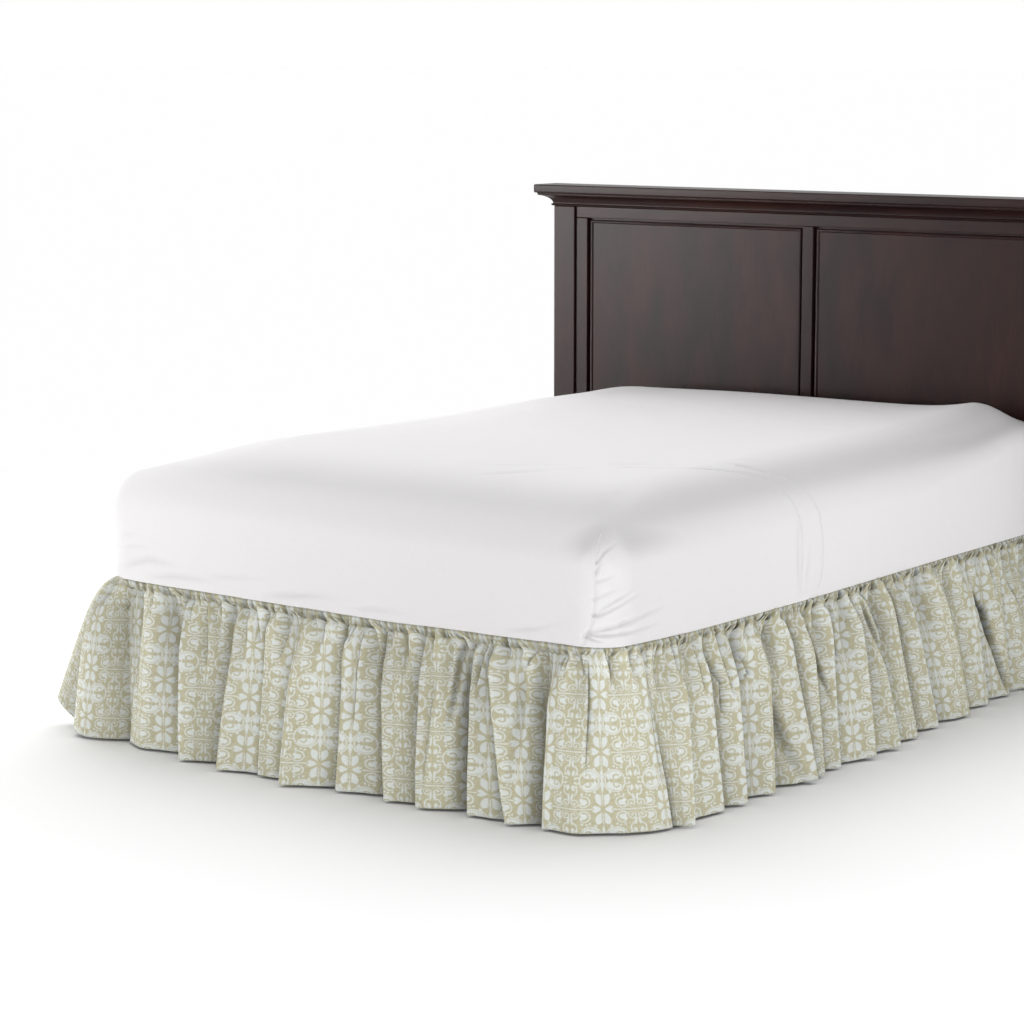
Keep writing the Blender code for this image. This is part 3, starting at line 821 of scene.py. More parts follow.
# How far the heading hangs below the deck's seam: metres along the deck's edge from the
# middle of the foot, and millimetres down. The mattress's lower edge sags as far.
SEAM_SAG = (
    (-2.70, 5), (-1.00, 5), (-0.78, 1), (-0.69, 7), (-0.55, 9), (-0.25, 11), (0.00, 13),
    (0.15, 14), (0.30, 11), (0.50, 8), (0.70, 5), (0.80, 7), (0.90, 11), (1.05, 16),
    (1.33, 18), (1.63, 18), (1.90, 16), (2.20, 14), (2.70, 12),
)
SAG_REACH = 0.0003              # below the seam, over which the heading sags

PRINT_LEVELS = (0.10, 0.17, 0.24, 0.31)     # below the seam, where the cloth is measured
SKY_COLUMNS = 80                # to either side, that may hide the light from the cloth
SKY_REACH = 0.160               # how far off, at the most, they are
DIM_SKY, FULL_SKY = 0.42, 0.84  # shares of open sky between which the painted shade fades
PAINTED_CREST_HIGHLIGHT = 0.28               # painted highlight: how much lighter the cloth's colour is made on its most open crests
OPEN_CREST = 0.3                # the sky that such a crest has beyond a flat cloth's
PAINTED_SLIT_SHADE = 0.40                 # painted shade: how much darker the colour is made down in the deepest gather
TURN_IN_SHADE_DEPTH = 0.0012              # below the seam, above which the heading turns in under the mattress and gets painted shade

# Painted shade: the least factor on the cloth's colour where least light reaches: on the left side
# and the foot, just round the near corner, and from a little past the middle of the right side. It
# changes evenly between.
DIMMEST_PAINTED_SHADE = (0.41, 0.32, 0.04)
DIM_PLACES = (RIGHT_SIDE_START - 0.1, RIGHT_SIDE_START, RIGHT_MIDDLE + 0.2)


def seam_sag(along):
    places = [place for place, _ in SEAM_SAG]
    drops = [drop * MM for _, drop in SEAM_SAG]
    return np.interp(along - FOOT_MIDDLE, places, drops)


def painted_fold_shading(place, normal, dimmest):
    """The painted shade of each point of the cloth past its folds, with a painted highlight on its
    crests, as a factor on its colour.

    Along each level of the cloth, the sky is hidden up to the steepest line to a near point
    on either side.
    """
    tangent = np.stack((-normal[..., 1], normal[..., 0]), axis=-1)
    ahead = np.full(place.shape[:2], -math.pi / 2)
    behind = ahead.copy()
    for step in range(1, SKY_COLUMNS + 1):
        run = place[step:] - place[:-step]
        nearness = ramp(np.linalg.norm(run, axis=-1), SKY_REACH, SKY_REACH / 2)
        for line, here, way in ((ahead, slice(-step), 1), (behind, slice(step, None), -1)):
            rise = way * np.sum(run * normal[here], axis=-1)
            reach = np.sum(run * tangent[here], axis=-1)
            line[here] = np.maximum(line[here], np.arctan2(rise, reach) * nearness)
    openness = -(ahead + behind) / math.pi
    sky = 1.0 + np.minimum(openness, 0.0)
    shade = dimmest + (1.0 - dimmest) * ramp(sky, DIM_SKY, FULL_SKY)
    return shade * (1.0 + PAINTED_CREST_HIGHLIGHT * ease(openness / OPEN_CREST))


def ruffle_surface():
    """The ruffle's middle surface, its cloth map, its painted shade and highlight, and the piece
    borders.
    """
    columns, begins = ruffle_columns()
    rows = ruffle_rows()
    hem, top, out_at_hem, middle, undercut = (columns[:, i][:, None] for i in range(5))
    drop = rows / LAST_DOWN
    swing = (1 - np.exp(-rows / SWING_REACH)) / (1 - math.exp(-LAST_DOWN / SWING_REACH))
    flare = drop ** FLARE_POWER
    bend = np.clip(rows / HEADING_DEPTH, 0.0, 1.0)
    heading = SEAM_OUT + HEADING_OUT * np.sqrt(1.0 - (1.0 - bend) ** 2)
    tuck = undercut * (1 - np.exp(-rows / TUCK_REACH))
    hanging = top + (hem - top) * drop
    along = hanging + tuck
    tucked, open_ones = crease_depths(columns, rows, along)
    hidden_way = np.where(columns[:, :1] < RIGHT_SIDE_START, 1.0, -1.0)
    along = along + hidden_way * CREASE_TUCK * tucked * ease(rows / TUCK_REACH + TUCK_AT_SEAM)
    out = heading * (1 - flare) + middle * flare + (out_at_hem - middle) * swing
    plain_out = out + soft_waves(columns, rows)
    out = plain_out - tucked - open_ones
    out = np.maximum(out, np.minimum(VALLEY_LIMIT, heading))
    hem_z = np.maximum(HEM_CLEARANCE, SEAM_Z - np.sqrt(CUT_DROP ** 2 - out_at_hem ** 2))
    z = SEAM_Z - (SEAM_Z - hem_z) * drop
    z = z - seam_sag(top) * (1 - np.exp(-rows / SAG_REACH)) * (1 - drop)
    puff = 1 - tucked / PUFF_CREASE
    z = z + HEADING_RISE * puff * np.exp(-((rows / HEADING_ROUND - 1) ** 2))
    edge, normal = deck_edge(np.clip(along, 0.0, EDGE_LENGTH))
    place = edge + normal * out[..., None]
    surface = np.concatenate((place, z[..., None]), axis=-1)

    levels = np.searchsorted(rows, PRINT_LEVELS)
    smooth_edge, smooth_normal = deck_edge(hanging[:, levels])
    smooth = smooth_edge + smooth_normal * plain_out[:, levels, None]
    steps = np.linalg.norm(np.diff(smooth, axis=0), axis=2).mean(axis=1)
    cut = np.concatenate(((0.0,), np.cumsum(steps)))
    cut = cut - np.interp(PRINT_AXIS, columns[:, 0], cut)
    cloth = np.stack(np.broadcast_arrays(cut[:, None], rows * CUT_DROP / LAST_DOWN), axis=-1)
    # Painted shade and highlight for the colour: dark in the folds, darkest towards the head of the
    # right side, dark where the heading turns in under the mattress, darker down in the gathers,
    # lighter on the crests.
    shade = painted_fold_shading(place, normal, np.interp(hem, DIM_PLACES, DIMMEST_PAINTED_SHADE))
    shade = shade * (DIMMEST_PAINTED_SHADE[0] + (1 - DIMMEST_PAINTED_SHADE[0]) * ease(rows / TURN_IN_SHADE_DEPTH))
    shade = shade * (1 - PAINTED_SLIT_SHADE * tucked / DEEPEST_CREASE)
    return surface, cloth, shade, begins


BAKE_BANDS = 3                  # the baked map shows the strip in this many bands
BAND_LENGTH, BAND_DEPTH, BAND_MARGIN = 0.96, 0.30, 0.01     # as shares of that map


def build_ruffle_piece(name, surface, cloth, shade, finish):
    """One length of the ruffle, as a thin closed sheet."""
    across, down = surface.shape[:2]
    index = np.arange(across * down).reshape(across, down)
    faces = np.stack(
        (index[:-1, :-1], index[:-1, 1:], index[1:, 1:], index[1:, :-1]), axis=-1
    ).reshape(-1, 4)
    mesh = bpy.data.meshes.new(name)
    mesh.from_pydata(surface.reshape(-1, 3).tolist(), [], faces.tolist())
    corners = faces.reshape(-1)
    flat = cloth.reshape(-1, 2)
    mesh.uv_layers.new(name="Cloth").uv.foreach_set("vector", flat[corners].ravel())

    width = flat[-1, 0] - flat[0, 0]
    face_u = flat[faces[:, 0], 0] - flat[0, 0]
    band = np.minimum((face_u / width * BAKE_BANDS).astype(int), BAKE_BANDS - 1)
    band = np.repeat(band, 4)
    u = (flat[corners, 0] - flat[0, 0]) / width * BAKE_BANDS - band
    v = flat[corners, 1] / CUT_DROP * BAND_DEPTH + band * (BAND_DEPTH + 2 * BAND_MARGIN)
    baked = BAND_MARGIN + np.stack((BAND_LENGTH * u, v), axis=-1)
    mesh.uv_layers.new(name="OFBake").uv.foreach_set("vector", baked.ravel())
    keep_painted_shade(mesh, shade.ravel())
    piece = add_to_scene(name, mesh)
    mesh.shade_smooth()
    wear(piece, finish)
    thicken(piece, RUFFLE_THICKNESS)
    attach(piece, "root")
    return piece


def build_ruffle(finish):
    surface, cloth, shade, begins = ruffle_surface()
    borders = {
        "ruffle_left": (0, begins["foot"]),
        "ruffle_foot": (begins["foot"], begins["corner"]),
        "ruffle_right": (begins["corner"], begins["right_head"]),
        "ruffle_right_head": (begins["right_head"], len(surface) - 1),
    }
    for name, (first, last) in borders.items():
        part = slice(first, last + 1)
        piece = build_ruffle_piece(name, surface[part], cloth[part], shade[part], finish)
        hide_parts("ruffle")


# --- The deck --------------------------------------------------------------------------
def build_deck(finish):
    """The plain cloth between the mattress and the foundation, its foot corners round."""
    deselect()
    middle_y = (DECK_FOOT_Y + DECK_HEAD_Y) / 2
    bpy.ops.mesh.primitive_plane_add(size=1.0, location=(0.0, middle_y, SEAM_Z))
    piece = bpy.context.object
    piece.name = piece.data.name = "deck_cloth"
    piece.scale = (2 * DECK_HALF_X, DECK_HEAD_Y - DECK_FOOT_Y, 1.0)
    settle(piece)
    bpy.ops.object.mode_set(mode="EDIT")
    bpy.ops.mesh.select_mode(type="VERT")
    bpy.ops.mesh.select_all(action="DESELECT")
    form = bmesh.from_edit_mesh(piece.data)
    for corner in form.verts:
        corner.select_set(corner.co.y < 0)
    bmesh.update_edit_mesh(piece.data)
    bpy.ops.mesh.bevel(affect="VERTICES", offset=DECK_CORNER, segments=CORNER_SEGMENTS, profile=0.5)
    bpy.ops.object.mode_set(mode="OBJECT")
    thicken(piece, DECK_THICKNESS)
    wear(piece, finish)
    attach(piece, "root")
    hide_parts("deck")
    return piece


# --- The mattress ----------------------------------------------------------------------
SHOULDER_HEIGHT = 0.257         # of the mattress's top edge above its underside
EDGE_RADIUS_SIDE = 0.090        # of the top edge, across
EDGE_RADIUS_TOP = 0.085         # of the top edge, upwards
EDGE_RADIUS_BOTTOM = 0.006
SQUARER_HEAD = 0.042            # how much smaller the edges' radius is, right at the head
HEAD_RANGE = (0.25, 0.90)       # along the right side, over which it becomes so
SQUARER_LEFT = 0.011            # how much smaller the left corners' radius is, high up
LEFT_RANGE = (0.45, 0.65)       # to the left of the middle, over which it becomes so
HIGH_RANGE = (-0.03, 0.03)      # above the side's middle, likewise
BULGE = 0.003                   # by which the sides stand out at half their height
CROWN = 0.066                   # the top's height above the shoulder
CROWN_REACH = (0.260, 0.120, 0.400, 0.090)  # over which it rises: left, right, foot, head
SHOULDER = 0.042                # how far in from each side it begins to rise
CROWN_BLEND = 0.16              # of the crown's start, as a share of its reach
MATTRESS_CUTS = (187, 223, 43)
EDGE_CROWDING = 0.52            # how much closer the mesh is near the edges
MATTRESS_HALF = (
    (MATTRESS_HIGH.x - MATTRESS_LOW.x) / 2,
    (MATTRESS_HIGH.y - MATTRESS_LOW.y) / 2,
    SHOULDER_HEIGHT / 2,
)
MATTRESS_MIDDLE = (0.0, 0.0, MATTRESS_LOW.z + SHOULDER_HEIGHT / 2)

# Soft dents and swellings of the mattress's top, in millimetres:
#   x, y on the bed, height there, reach across, reach along
TOP_FORMS = (
    (-250, -820, -8, 420, 130),
    (380, -700, -7, 260, 200),
    (620, -760, 5, 120, 180),
    (100, -300, 4, 300, 260),
    (-540, 60, -13, 150, 620),
    (-460, 820, -9, 260, 200),
    (640, 880, 8, 160, 200),
    (715, 950, 30, 120, 190),
)

# Creases of the fitted sheet, in millimetres: depth, width, then the points it runs through.
SHEET_CREASES = (
    (5.0, 5.0, ((711, -1006, 484), (735, -990, 505), (756, -960, 524), (763, -900, 548))),
    (4.0, 5.0, ((722, -1003, 484), (745, -978, 500), (760, -945, 514), (763, -880, 532))),
    (6.0, 5.5, ((700, -1012, 445), (735, -990, 455), (756, -960, 463), (763, -920, 469))),
    (4.0, 6.5, ((756, -960, 463), (763, -920, 469), (764, -840, 478), (764, -760, 488))),
    (5.5, 5.0, ((700, -1012, 440), (735, -990, 441), (756, -960, 442), (763, -920, 443))),
    (3.6, 6.0, ((756, -960, 442), (763, -920, 443), (764, -800, 448))),
    (4.0, 4.0, ((690, -1014, 438), (715, -1004, 430), (738, -985, 424))),
    (3.0, 5.0, ((720, -1003, 560), (752, -965, 576))),
    (4.5, 4.5, ((716, -1003, 600), (726, -988, 622), (740, -935, 645))),
    (3.6, 4.5, ((716, -1005, 578), (724, -995, 608))),
    (3.0, 5.0, ((712, -1006, 520), (738, -985, 536), (758, -955, 548))),
)

# Wrinkles of the sheet that lie free and fade towards both ends, likewise.
SHEET_WRINKLES = (
    (5.0, 9, ((-715, -1006, 430), (-660, -1015, 456), (-600, -1017, 472), (-470, -1017, 468))),
    (4.6, 8, ((-620, -1015, 426), (-540, -1017, 437), (-450, -1017, 441), (-340, -1017, 440))),
    (2.2, 8, ((-430, -1017, 452), (-320, -1017, 458), (-190, -1017, 470))),
    (5.0, 8, ((-260, -1016, 420), (-180, -1016, 430), (-90, -1016, 440), (50, -1016, 446))),
    (3.2, 7, ((20, -1016, 422), (110, -1016, 430), (230, -1016, 434))),
    (2.6, 6, ((-700, -1009, 492), (-650, -1017, 500), (-570, -1017, 506))),
    (2.0, 6, ((-712, -1004, 516), (-670, -1017, 526), (-610, -1017, 530))),
    (3.0, 7, ((450, -1016, 422), (560, -1016, 440), (660, -1016, 470))),
    (3.0, 6, ((380, -545, 735), (500, -480, 737), (590, -430, 736))),
    (2.4, 6, ((330, -640, 733), (470, -570, 735))),
    (2.6, 6, ((600, -330, 731), (668, -200, 722))),
    (2.4, 6, ((610, -380, 731), (680, -255, 716))),
    (2.6, 9, ((180, -780, 716), (420, -600, 730))),
    (2.2, 8, ((100, -700, 730), (260, -640, 735), (400, -560, 736))),
    (6.0, 5, ((762, -236, 410), (764, -243, 500), (764, -246, 600), (750, -262, 650))),
    (4.0, 6, ((762, -207, 410), (764, -196, 500), (764, -186, 560))),
)

# The fitted sheet's seams, in millimetres, each through a few points on the sheet.
SHEET_SEAMS = {
    "corner_seam": (
        (702, -967, 655), (713, -997, 620), (715, -1006, 582), (715, -1006, 542),
        (714, -1006, 497), (711, -1007, 475), (702, -1010, 450), (694, -1013, 438),
        (690, -1013, 422),
    ),
    "side_seam_near": (
        (470, -552, 734), (560, -515, 735), (605, -490, 735), (645, -411, 726),
        (675, -334, 709), (704, -272, 679), (733, -246, 649), (755, -240, 617),
        (763, -230, 568), (763, -226, 499), (761, -228, 425),
    ),
    "side_seam_far": (
        (640, -330, 730), (668, -288, 714), (696, -215, 688), (725, -169, 656),
        (751, -155, 625), (763, -145, 586), (763, -134, 535), (763, -132, 496),
        (761, -135, 446), (760, -150, 424),
    ),
}
SEAM_RADIUS = 0.0014
SEAM_SUNK = 0.25                # the share of that radius by which a seam sinks into the sheet
SEAM_STEPS = 12                 # of its curve between two points
SEAM_PRESS = (2.4, 4)           # the dent along a seam, in millimetres: its depth and width
FINE_REACH = (0.030, 0.016)     # from a crease or seam, within which the mesh is made finer
CREASE_HELD = 0.35              # the share of a crease's length over which it keeps its depth
WRINKLE_START = 0.35            # the share of a wrinkle's length over which it begins
PAINTED_CREASE_SHADE = 0.018              # painted shade: how much darker the sheet's colour is made for each millimetre of crease
LIP_HEIGHT = 0.110              # above its underside, over which the mattress's side sags
LEVEL_SLACK = 2e-5              # within which a face counts as part of the flat underside


def crown_height(x, y):
    """How far the top stands above the shoulder, with its own dents and swellings."""
    half_x, half_y, _ = MATTRESS_HALF
    height = np.full_like(x, CROWN)
    distances = (half_x + x, half_x - x, half_y + y, half_y - y)
    for distance, reach in zip(distances, CROWN_REACH):
        share = (distance - SHOULDER) / reach
        share = np.minimum((share + np.hypot(share, CROWN_BLEND)) / 2, 1.0)
        height = height * (1.0 - (1.0 - share) ** 2)
    for at_x, at_y, high, reach_x, reach_y in TOP_FORMS:
        off = ((x / MM - at_x) / reach_x) ** 2 + ((y / MM - at_y) / reach_y) ** 2
        height = height + high * MM * np.exp(-off)
    return height


def path_distance(places, path):
    """How far each place is from a path in millimetres, and how far along it, as a share."""
    path = np.array(path) * MM
    lengths = np.linalg.norm(np.diff(path, axis=0), axis=1)
    begins = np.concatenate(((0.0,), np.cumsum(lengths)))
    best = np.full(len(places), np.inf)
    reached = np.zeros(len(places))
    for start, end, length, begin in zip(path, path[1:], lengths, begins):
        run = (end - start) / length
        share = np.clip((places - start) @ run, 0.0, length)
        away = np.linalg.norm(places - start - share[:, None] * run, axis=1)
        nearer = away < best
        best[nearer] = away[nearer]
        reached[nearer] = (begin + share[nearer]) / begins[-1]
    return best, reached


def crease_press(places, depth, width, path, soft_start):
    """How deep a crease along a path presses each place in. It fades towards its end."""
    away, reached = path_distance(places, path)
    fade = 1.0 - ramp(reached, CREASE_HELD, 1.0)
    if soft_start:
        fade = fade * ease(reached / WRINKLE_START)
    return depth * MM * fade * np.exp(-(away / (width * MM)) ** 2)


def rounded_places(places):
    """Round the box's edges. Returns the moved places and their outward directions."""
    half = np.array(MATTRESS_HALF)
    x, y, z = places.T
    at_head = np.where(x > 0, ramp(y, *HEAD_RANGE), 0.0)
    at_left = ramp(-x, *LEFT_RANGE) * ramp(z, *HIGH_RANGE)
    side = EDGE_RADIUS_SIDE - SQUARER_HEAD * at_head - SQUARER_LEFT * at_left
    top = EDGE_RADIUS_TOP - SQUARER_HEAD * at_head
    reach = np.stack((side, side, np.where(z > 0, top, EDGE_RADIUS_BOTTOM)), axis=1)
    core = np.clip(places, -(half - reach), half - reach)
    rim = (places - core) / reach
    size = np.maximum(np.linalg.norm(rim, axis=1, keepdims=True), 1e-9)
    longest = np.max(np.abs(rim), axis=1, keepdims=True)
    return core + rim / size * longest * reach, rim / size


def edge_place(x, y):
    """How far along the deck's edge a place on the mattress's side is."""
    corner_y = DECK_FOOT_Y + DECK_CORNER
    core_x = np.clip(x, DECK_CORNER - DECK_HALF_X, DECK_HALF_X - DECK_CORNER)
    core_y = np.maximum(y, corner_y)
    turn = np.arctan2(x - core_x, core_y - y)
    return FOOT_MIDDLE + core_x + DECK_CORNER * turn + np.sign(x) * (core_y - corner_y)


def soft_form(places):
    """The mattress's shape without creases, from places on a box round its middle.

    Returns the places on the bed and their outward directions.
    """
    half = np.array(MATTRESS_HALF)
    share = places / half
    crowded = np.sin(share * math.pi / 2) * EDGE_CROWDING + share * (1 - EDGE_CROWDING)
    places, outward = rounded_places(crowded * half)
    places = places + MATTRESS_MIDDLE
    height = (places[:, 2] - MATTRESS_LOW.z) / SHOULDER_HEIGHT
    # The crown lifts nothing below the side's middle, and all of it from the shoulder.
    places[:, 2] += crown_height(places[:, 0], places[:, 1]) * ease(height * 2.2 - 1.2)
    bulge = np.sin(np.clip(height, 0.0, 1.0) * math.pi) * BULGE
    places[:, :2] += outward[:, :2] * bulge[:, None]
    sideways = np.linalg.norm(outward[:, :2], axis=1)
    at_head = outward[:, 1] > 0.5
    hang = 1.0 - ease((places[:, 2] - MATTRESS_LOW.z) / LIP_HEIGHT)
    sag = seam_sag(edge_place(places[:, 0], places[:, 1]))
    places[:, 2] -= np.where(at_head, 0.0, sag * hang * sideways)
    return places, outward


def refine_near(piece, paths, reach):
    """Make a mesh finer where it comes near to some paths, each in millimetres."""
    bpy.ops.mesh.select_mode(type="FACE")
    form = bmesh.from_edit_mesh(piece.data)
    centres = np.array([face.calc_center_median() for face in form.faces])
    places, _ = soft_form(centres - MATTRESS_MIDDLE)
    chosen = np.zeros(len(places), dtype=bool)
    for path in paths:
        away, _ = path_distance(places, path)
        chosen |= away < reach
    for face, pick in zip(form.faces, chosen):
        face.select_set(bool(pick))
    form.select_flush_mode()
    bmesh.update_edit_mesh(piece.data)
    bpy.ops.mesh.subdivide(number_cuts=1)


# Painted shade along the sheet's top edges: where it is darkest as the sheet turns over the top
# edge, how far up the edge's curve and on across the top, how far below and above that it fades,
# and how much darker it is there.
PAINTED_EDGE_SHADES = (
    (0.150, 0.060, 0.150, 0.20),    # along the foot
    (0.106, 0.042, 0.055, 0.20),    # along the right side
)
EDGE_SHADE_FOOT_RANGE = (-0.85, -0.20)    # across the foot, over which that painted shade comes in
EDGE_SHADE_GAIN = 1.6                 # it is full where the sheet faces a side, or up, by 1 / this
PAINTED_RIGHT_LIGHT = 0.12              # painted light: how much lighter the sheet's colour is made on its right side, towards the head
PAINTED_LIGHT_RANGE = (-1.0, 0.1)       # along the bed, over which it becomes so


def painted_sheet_shade_and_light(places, outward):
    """Painted shade along the sheet's top edges, and painted light on its right side, as a factor
    on its colour.
    """
    x, y, _ = places.T
    upward = outward[:, 2] + 1e-6
    sides = (
        # how far the sheet faces that side, how far in from the side it is, how strong the painted
        # shade
        (-outward[:, 1], y + MATTRESS_HALF[1], ramp(x, *EDGE_SHADE_FOOT_RANGE)),
        (outward[:, 0], MATTRESS_HALF[0] - x, 1.0),
    )
    # Painted shade: how much the colour is darkened along each top edge.
    grey = np.zeros(len(places))
    for (sideways, inward, strength), (centre, below, above, dim) in zip(sides, PAINTED_EDGE_SHADES):
        climb = EDGE_RADIUS_SIDE * np.arctan2(upward, np.maximum(sideways, 0.0))
        way = climb + np.maximum(inward - EDGE_RADIUS_SIDE, 0.0)
        reach = np.where(way < centre, below, above)
        faces = ease(EDGE_SHADE_GAIN * np.maximum(sideways, upward))
        band = dim * strength * faces * np.exp(-(((way - centre) / reach) ** 2))
        grey = np.maximum(grey, band)
    # Painted light: the right side's colour is lightened towards the head.
    painted_light = PAINTED_RIGHT_LIGHT * ease(outward[:, 0]) * ramp(y, *PAINTED_LIGHT_RANGE)
    return (1.0 - grey) * (1.0 + painted_light)


def build_mattress(finish):
    """The mattress in its fitted sheet: soft round edges, a crowned top, creased corners."""
    middle, half = Vector(MATTRESS_MIDDLE), Vector(MATTRESS_HALF)
    piece = add_box("mattress_in_sheet", middle - half, middle + half)
    bpy.ops.object.mode_set(mode="EDIT")
    bpy.ops.mesh.select_mode(type="EDGE")
    for axis, cuts in enumerate(MATTRESS_CUTS):
        form = bmesh.from_edit_mesh(piece.data)
        for edge in form.edges:
            run = edge.verts[1].co - edge.verts[0].co
            edge.select_set(abs(run[axis]) > 0.9 * run.length)
        bmesh.update_edit_mesh(piece.data)
        bpy.ops.mesh.subdivide(number_cuts=cuts)
    paths = [path for _, _, path in SHEET_CREASES + SHEET_WRINKLES]
    for reach in FINE_REACH:
        refine_near(piece, [*paths, *SHEET_SEAMS.values()], reach)
    bpy.ops.object.mode_set(mode="OBJECT")

    places, outward = soft_form(read_points(piece.data) - MATTRESS_MIDDLE)
    press = sum(crease_press(places, *crease, False) for crease in SHEET_CREASES)
    press = press + sum(crease_press(places, *wrinkle, True) for wrinkle in SHEET_WRINKLES)
    for path in SHEET_SEAMS.values():
        away, _ = path_distance(places, smooth_path(path, SEAM_STEPS))
        depth, width = SEAM_PRESS
        press = press + depth * MM * np.exp(-(away / (width * MM)) ** 2)
    places -= outward * press[:, None]
    write_points(piece.data, places)
    # The sheet's colour carries painted shade along its top edges and down its creases, and painted
    # light on its right side.
    sheet_light_and_shade = painted_sheet_shade_and_light(places, outward) * (1.0 - PAINTED_CREASE_SHADE * press / MM)
    keep_painted_shade(piece.data, sheet_light_and_shade)
    piece.data.shade_smooth()

    # The underside is flat: its faces become one.
    bpy.ops.object.mode_set(mode="EDIT")
    bpy.ops.mesh.select_mode(type="FACE")
    level = MATTRESS_LOW.z + LEVEL_SLACK / 2
    select_faces(
        piece, lambda centre, normal: normal.z < -0.9999 and abs(centre.z - level) < LEVEL_SLACK
    )
    bpy.ops.mesh.dissolve_faces(use_verts=True)
    bpy.ops.object.mode_set(mode="OBJECT")

    surface = BVHTree.FromObject(piece, bpy.context.evaluated_depsgraph_get())
    seams = [seam_ridge(surface, name, path) for name, path in SHEET_SEAMS.items()]
    make_active(piece)
    for seam in seams:
        seam.select_set(True)
    bpy.ops.object.join()
    wear(piece, finish)
    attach(piece, "root")
    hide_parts("mattress")
    return piece


def smooth_path(points, steps):
    """Points along a Catmull-Rom curve through a few given ones."""
    points = np.array(points, dtype=float)
    padded = np.vstack((2 * points[0] - points[1], points, 2 * points[-1] - points[-2]))
    curve = []
    for before, start, end, after in zip(padded, padded[1:], padded[2:], padded[3:]):
        for share in np.linspace(0.0, 1.0, steps, endpoint=False):
            curve.append(0.5 * (
                2 * start
                + (end - before) * share
                + (2 * before - 5 * start + 4 * end - after) * share ** 2
                + (3 * start - before - 3 * end + after) * share ** 3
            ))
    return [*curve, points[-1]]


def seam_ridge(surface, name, path):
    """A thin sewn ridge that lies on the sheet."""
    route = []
    for place in smooth_path(path, SEAM_STEPS):
        spot, normal, _, _ = surface.find_nearest(Vector(place * MM))
        route.append(spot - normal * SEAM_RADIUS * SEAM_SUNK)
    curve = bpy.data.curves.new(name, "CURVE")
    curve.dimensions = "3D"
    spline = curve.splines.new("POLY")
    spline.points.add(len(route) - 1)
    for point, place in zip(spline.points, route):
        point.co = (*place, 1.0)
    curve.bevel_depth = SEAM_RADIUS
    curve.bevel_resolution = 1
    curve.use_fill_caps = True
    make_active(add_to_scene(name, curve))
    bpy.ops.object.convert(target="MESH")
    seam = bpy.context.object
    keep_painted_shade(seam.data, np.ones(len(seam.data.vertices)))
    return seam


# --- The headboard ---------------------------------------------------------------------
EDGE_SEGMENTS = 3               # of a board's rounded edges


def build_board(node, finish, ease_width):
    """A board of the headboard, from a cube, with its edges rounded over."""
    low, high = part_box(node)
    piece = add_box(node + "_wood", low, high)
    rounded = piece.modifiers.new("Rounded edges", "BEVEL")
    rounded.width = ease_width
    rounded.segments = EDGE_SEGMENTS
    apply_modifiers(piece)
    smooth_by_angle(piece)
    flatten_shading(piece)
    finish_wood(piece, node, finish)
    return piece


def flatten_shading(piece):
    """Let the broad faces shade flat, and only the rounded edges shade round."""
    weighted = piece.modifiers.new("Face weights", "WEIGHTED_NORMAL")
    weighted.keep_sharp = True
    apply_modifiers(piece)


def finish_wood(piece, node, finish):
    wear(piece, finish)
    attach(piece, "root")
    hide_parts(node)


# The crown moulding's face, from its lower bead to its upper lip: share of its height, and
# share of its overhang.
CROWN_PROFILE = (
    (0.000, 0.050),
    (0.040, 0.130),
    (0.100, 0.165),
    (0.160, 0.130),
    (0.190, 0.060),
    (0.240, 0.050),
    (0.330, 0.075),
    (0.440, 0.140),
    (0.550, 0.245),
    (0.650, 0.390),
    (0.730, 0.560),
    (0.790, 0.740),
    (0.815, 0.900),
    (0.830, 0.930),
    (0.900, 0.985),
    (0.960, 0.985),
    (1.000, 1.000),
)
CROWN_SMOOTHING = 28.0          # degrees: flatter edges than this shade round


def build_crown(finish):
    """The crown moulding: a box cut at each level of its profile, each level then drawn out."""
    low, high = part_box("crown")
    post_low, post_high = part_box("post_right")
    wall_x, wall_y = post_high.x, post_low.y
    overhang = high.x - wall_x
    piece = add_box("crown_moulding", (-wall_x, wall_y, low.z), (wall_x, high.y, high.z))
    bpy.ops.object.mode_set(mode="EDIT")
    for level, _ in CROWN_PROFILE[1:-1]:
        bpy.ops.mesh.select_all(action="SELECT")
        z = low.z + level * (high.z - low.z)
        bpy.ops.mesh.bisect(plane_co=(0.0, 0.0, z), plane_no=(0.0, 0.0, 1.0))
    bpy.ops.object.mode_set(mode="OBJECT")
    places = read_points(piece.data)
    share = (places[:, 2] - low.z) / (high.z - low.z)
    out = np.interp(share, *zip(*CROWN_PROFILE)) * overhang
    places[:, 0] += np.sign(places[:, 0]) * out
    places[:, 1] -= np.where(places[:, 1] < wall_y + 0.001, out, 0.0)
    write_points(piece.data, places)
    smooth_by_angle(piece, CROWN_SMOOTHING)
    flatten_shading(piece)
    finish_wood(piece, "crown", finish)
    return piece


PANEL_GROOVE = 0.0095           # depth of the groove round a panel, from the bead's top
PANEL_SMOOTHING = 50.0          # degrees
PANEL_BEAD = (
    # how far a panel's face is inset, and how far it is then drawn out
    (0.0052, 0.0), (0.0012, 0.0072), (0.0022, 0.0020), (0.0036, 0.0),
    (0.0022, -0.0020), (0.0012, -0.0022), (0.0050, 0.0),
)


def build_panel(node, finish):
    """A flat panel: its face is inset step by step, and a band of it is raised to a bead."""
    low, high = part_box(node)
    face_y = low.y + PANEL_GROOVE
    piece = add_box(node + "_wood", (low.x, face_y, low.z), (high.x, high.y, high.z))
    bpy.ops.object.mode_set(mode="EDIT")
    bpy.ops.mesh.select_mode(type="FACE")
    select_faces(piece, lambda centre, normal: normal.y < -0.9)
    for inset, out in PANEL_BEAD:
        bpy.ops.mesh.inset(thickness=inset, depth=0.0)
        if out:
            bpy.ops.transform.translate(value=(0.0, -out, 0.0))
    bpy.ops.object.mode_set(mode="OBJECT")
    smooth_by_angle(piece, PANEL_SMOOTHING)
    finish_wood(piece, node, finish)
    return piece


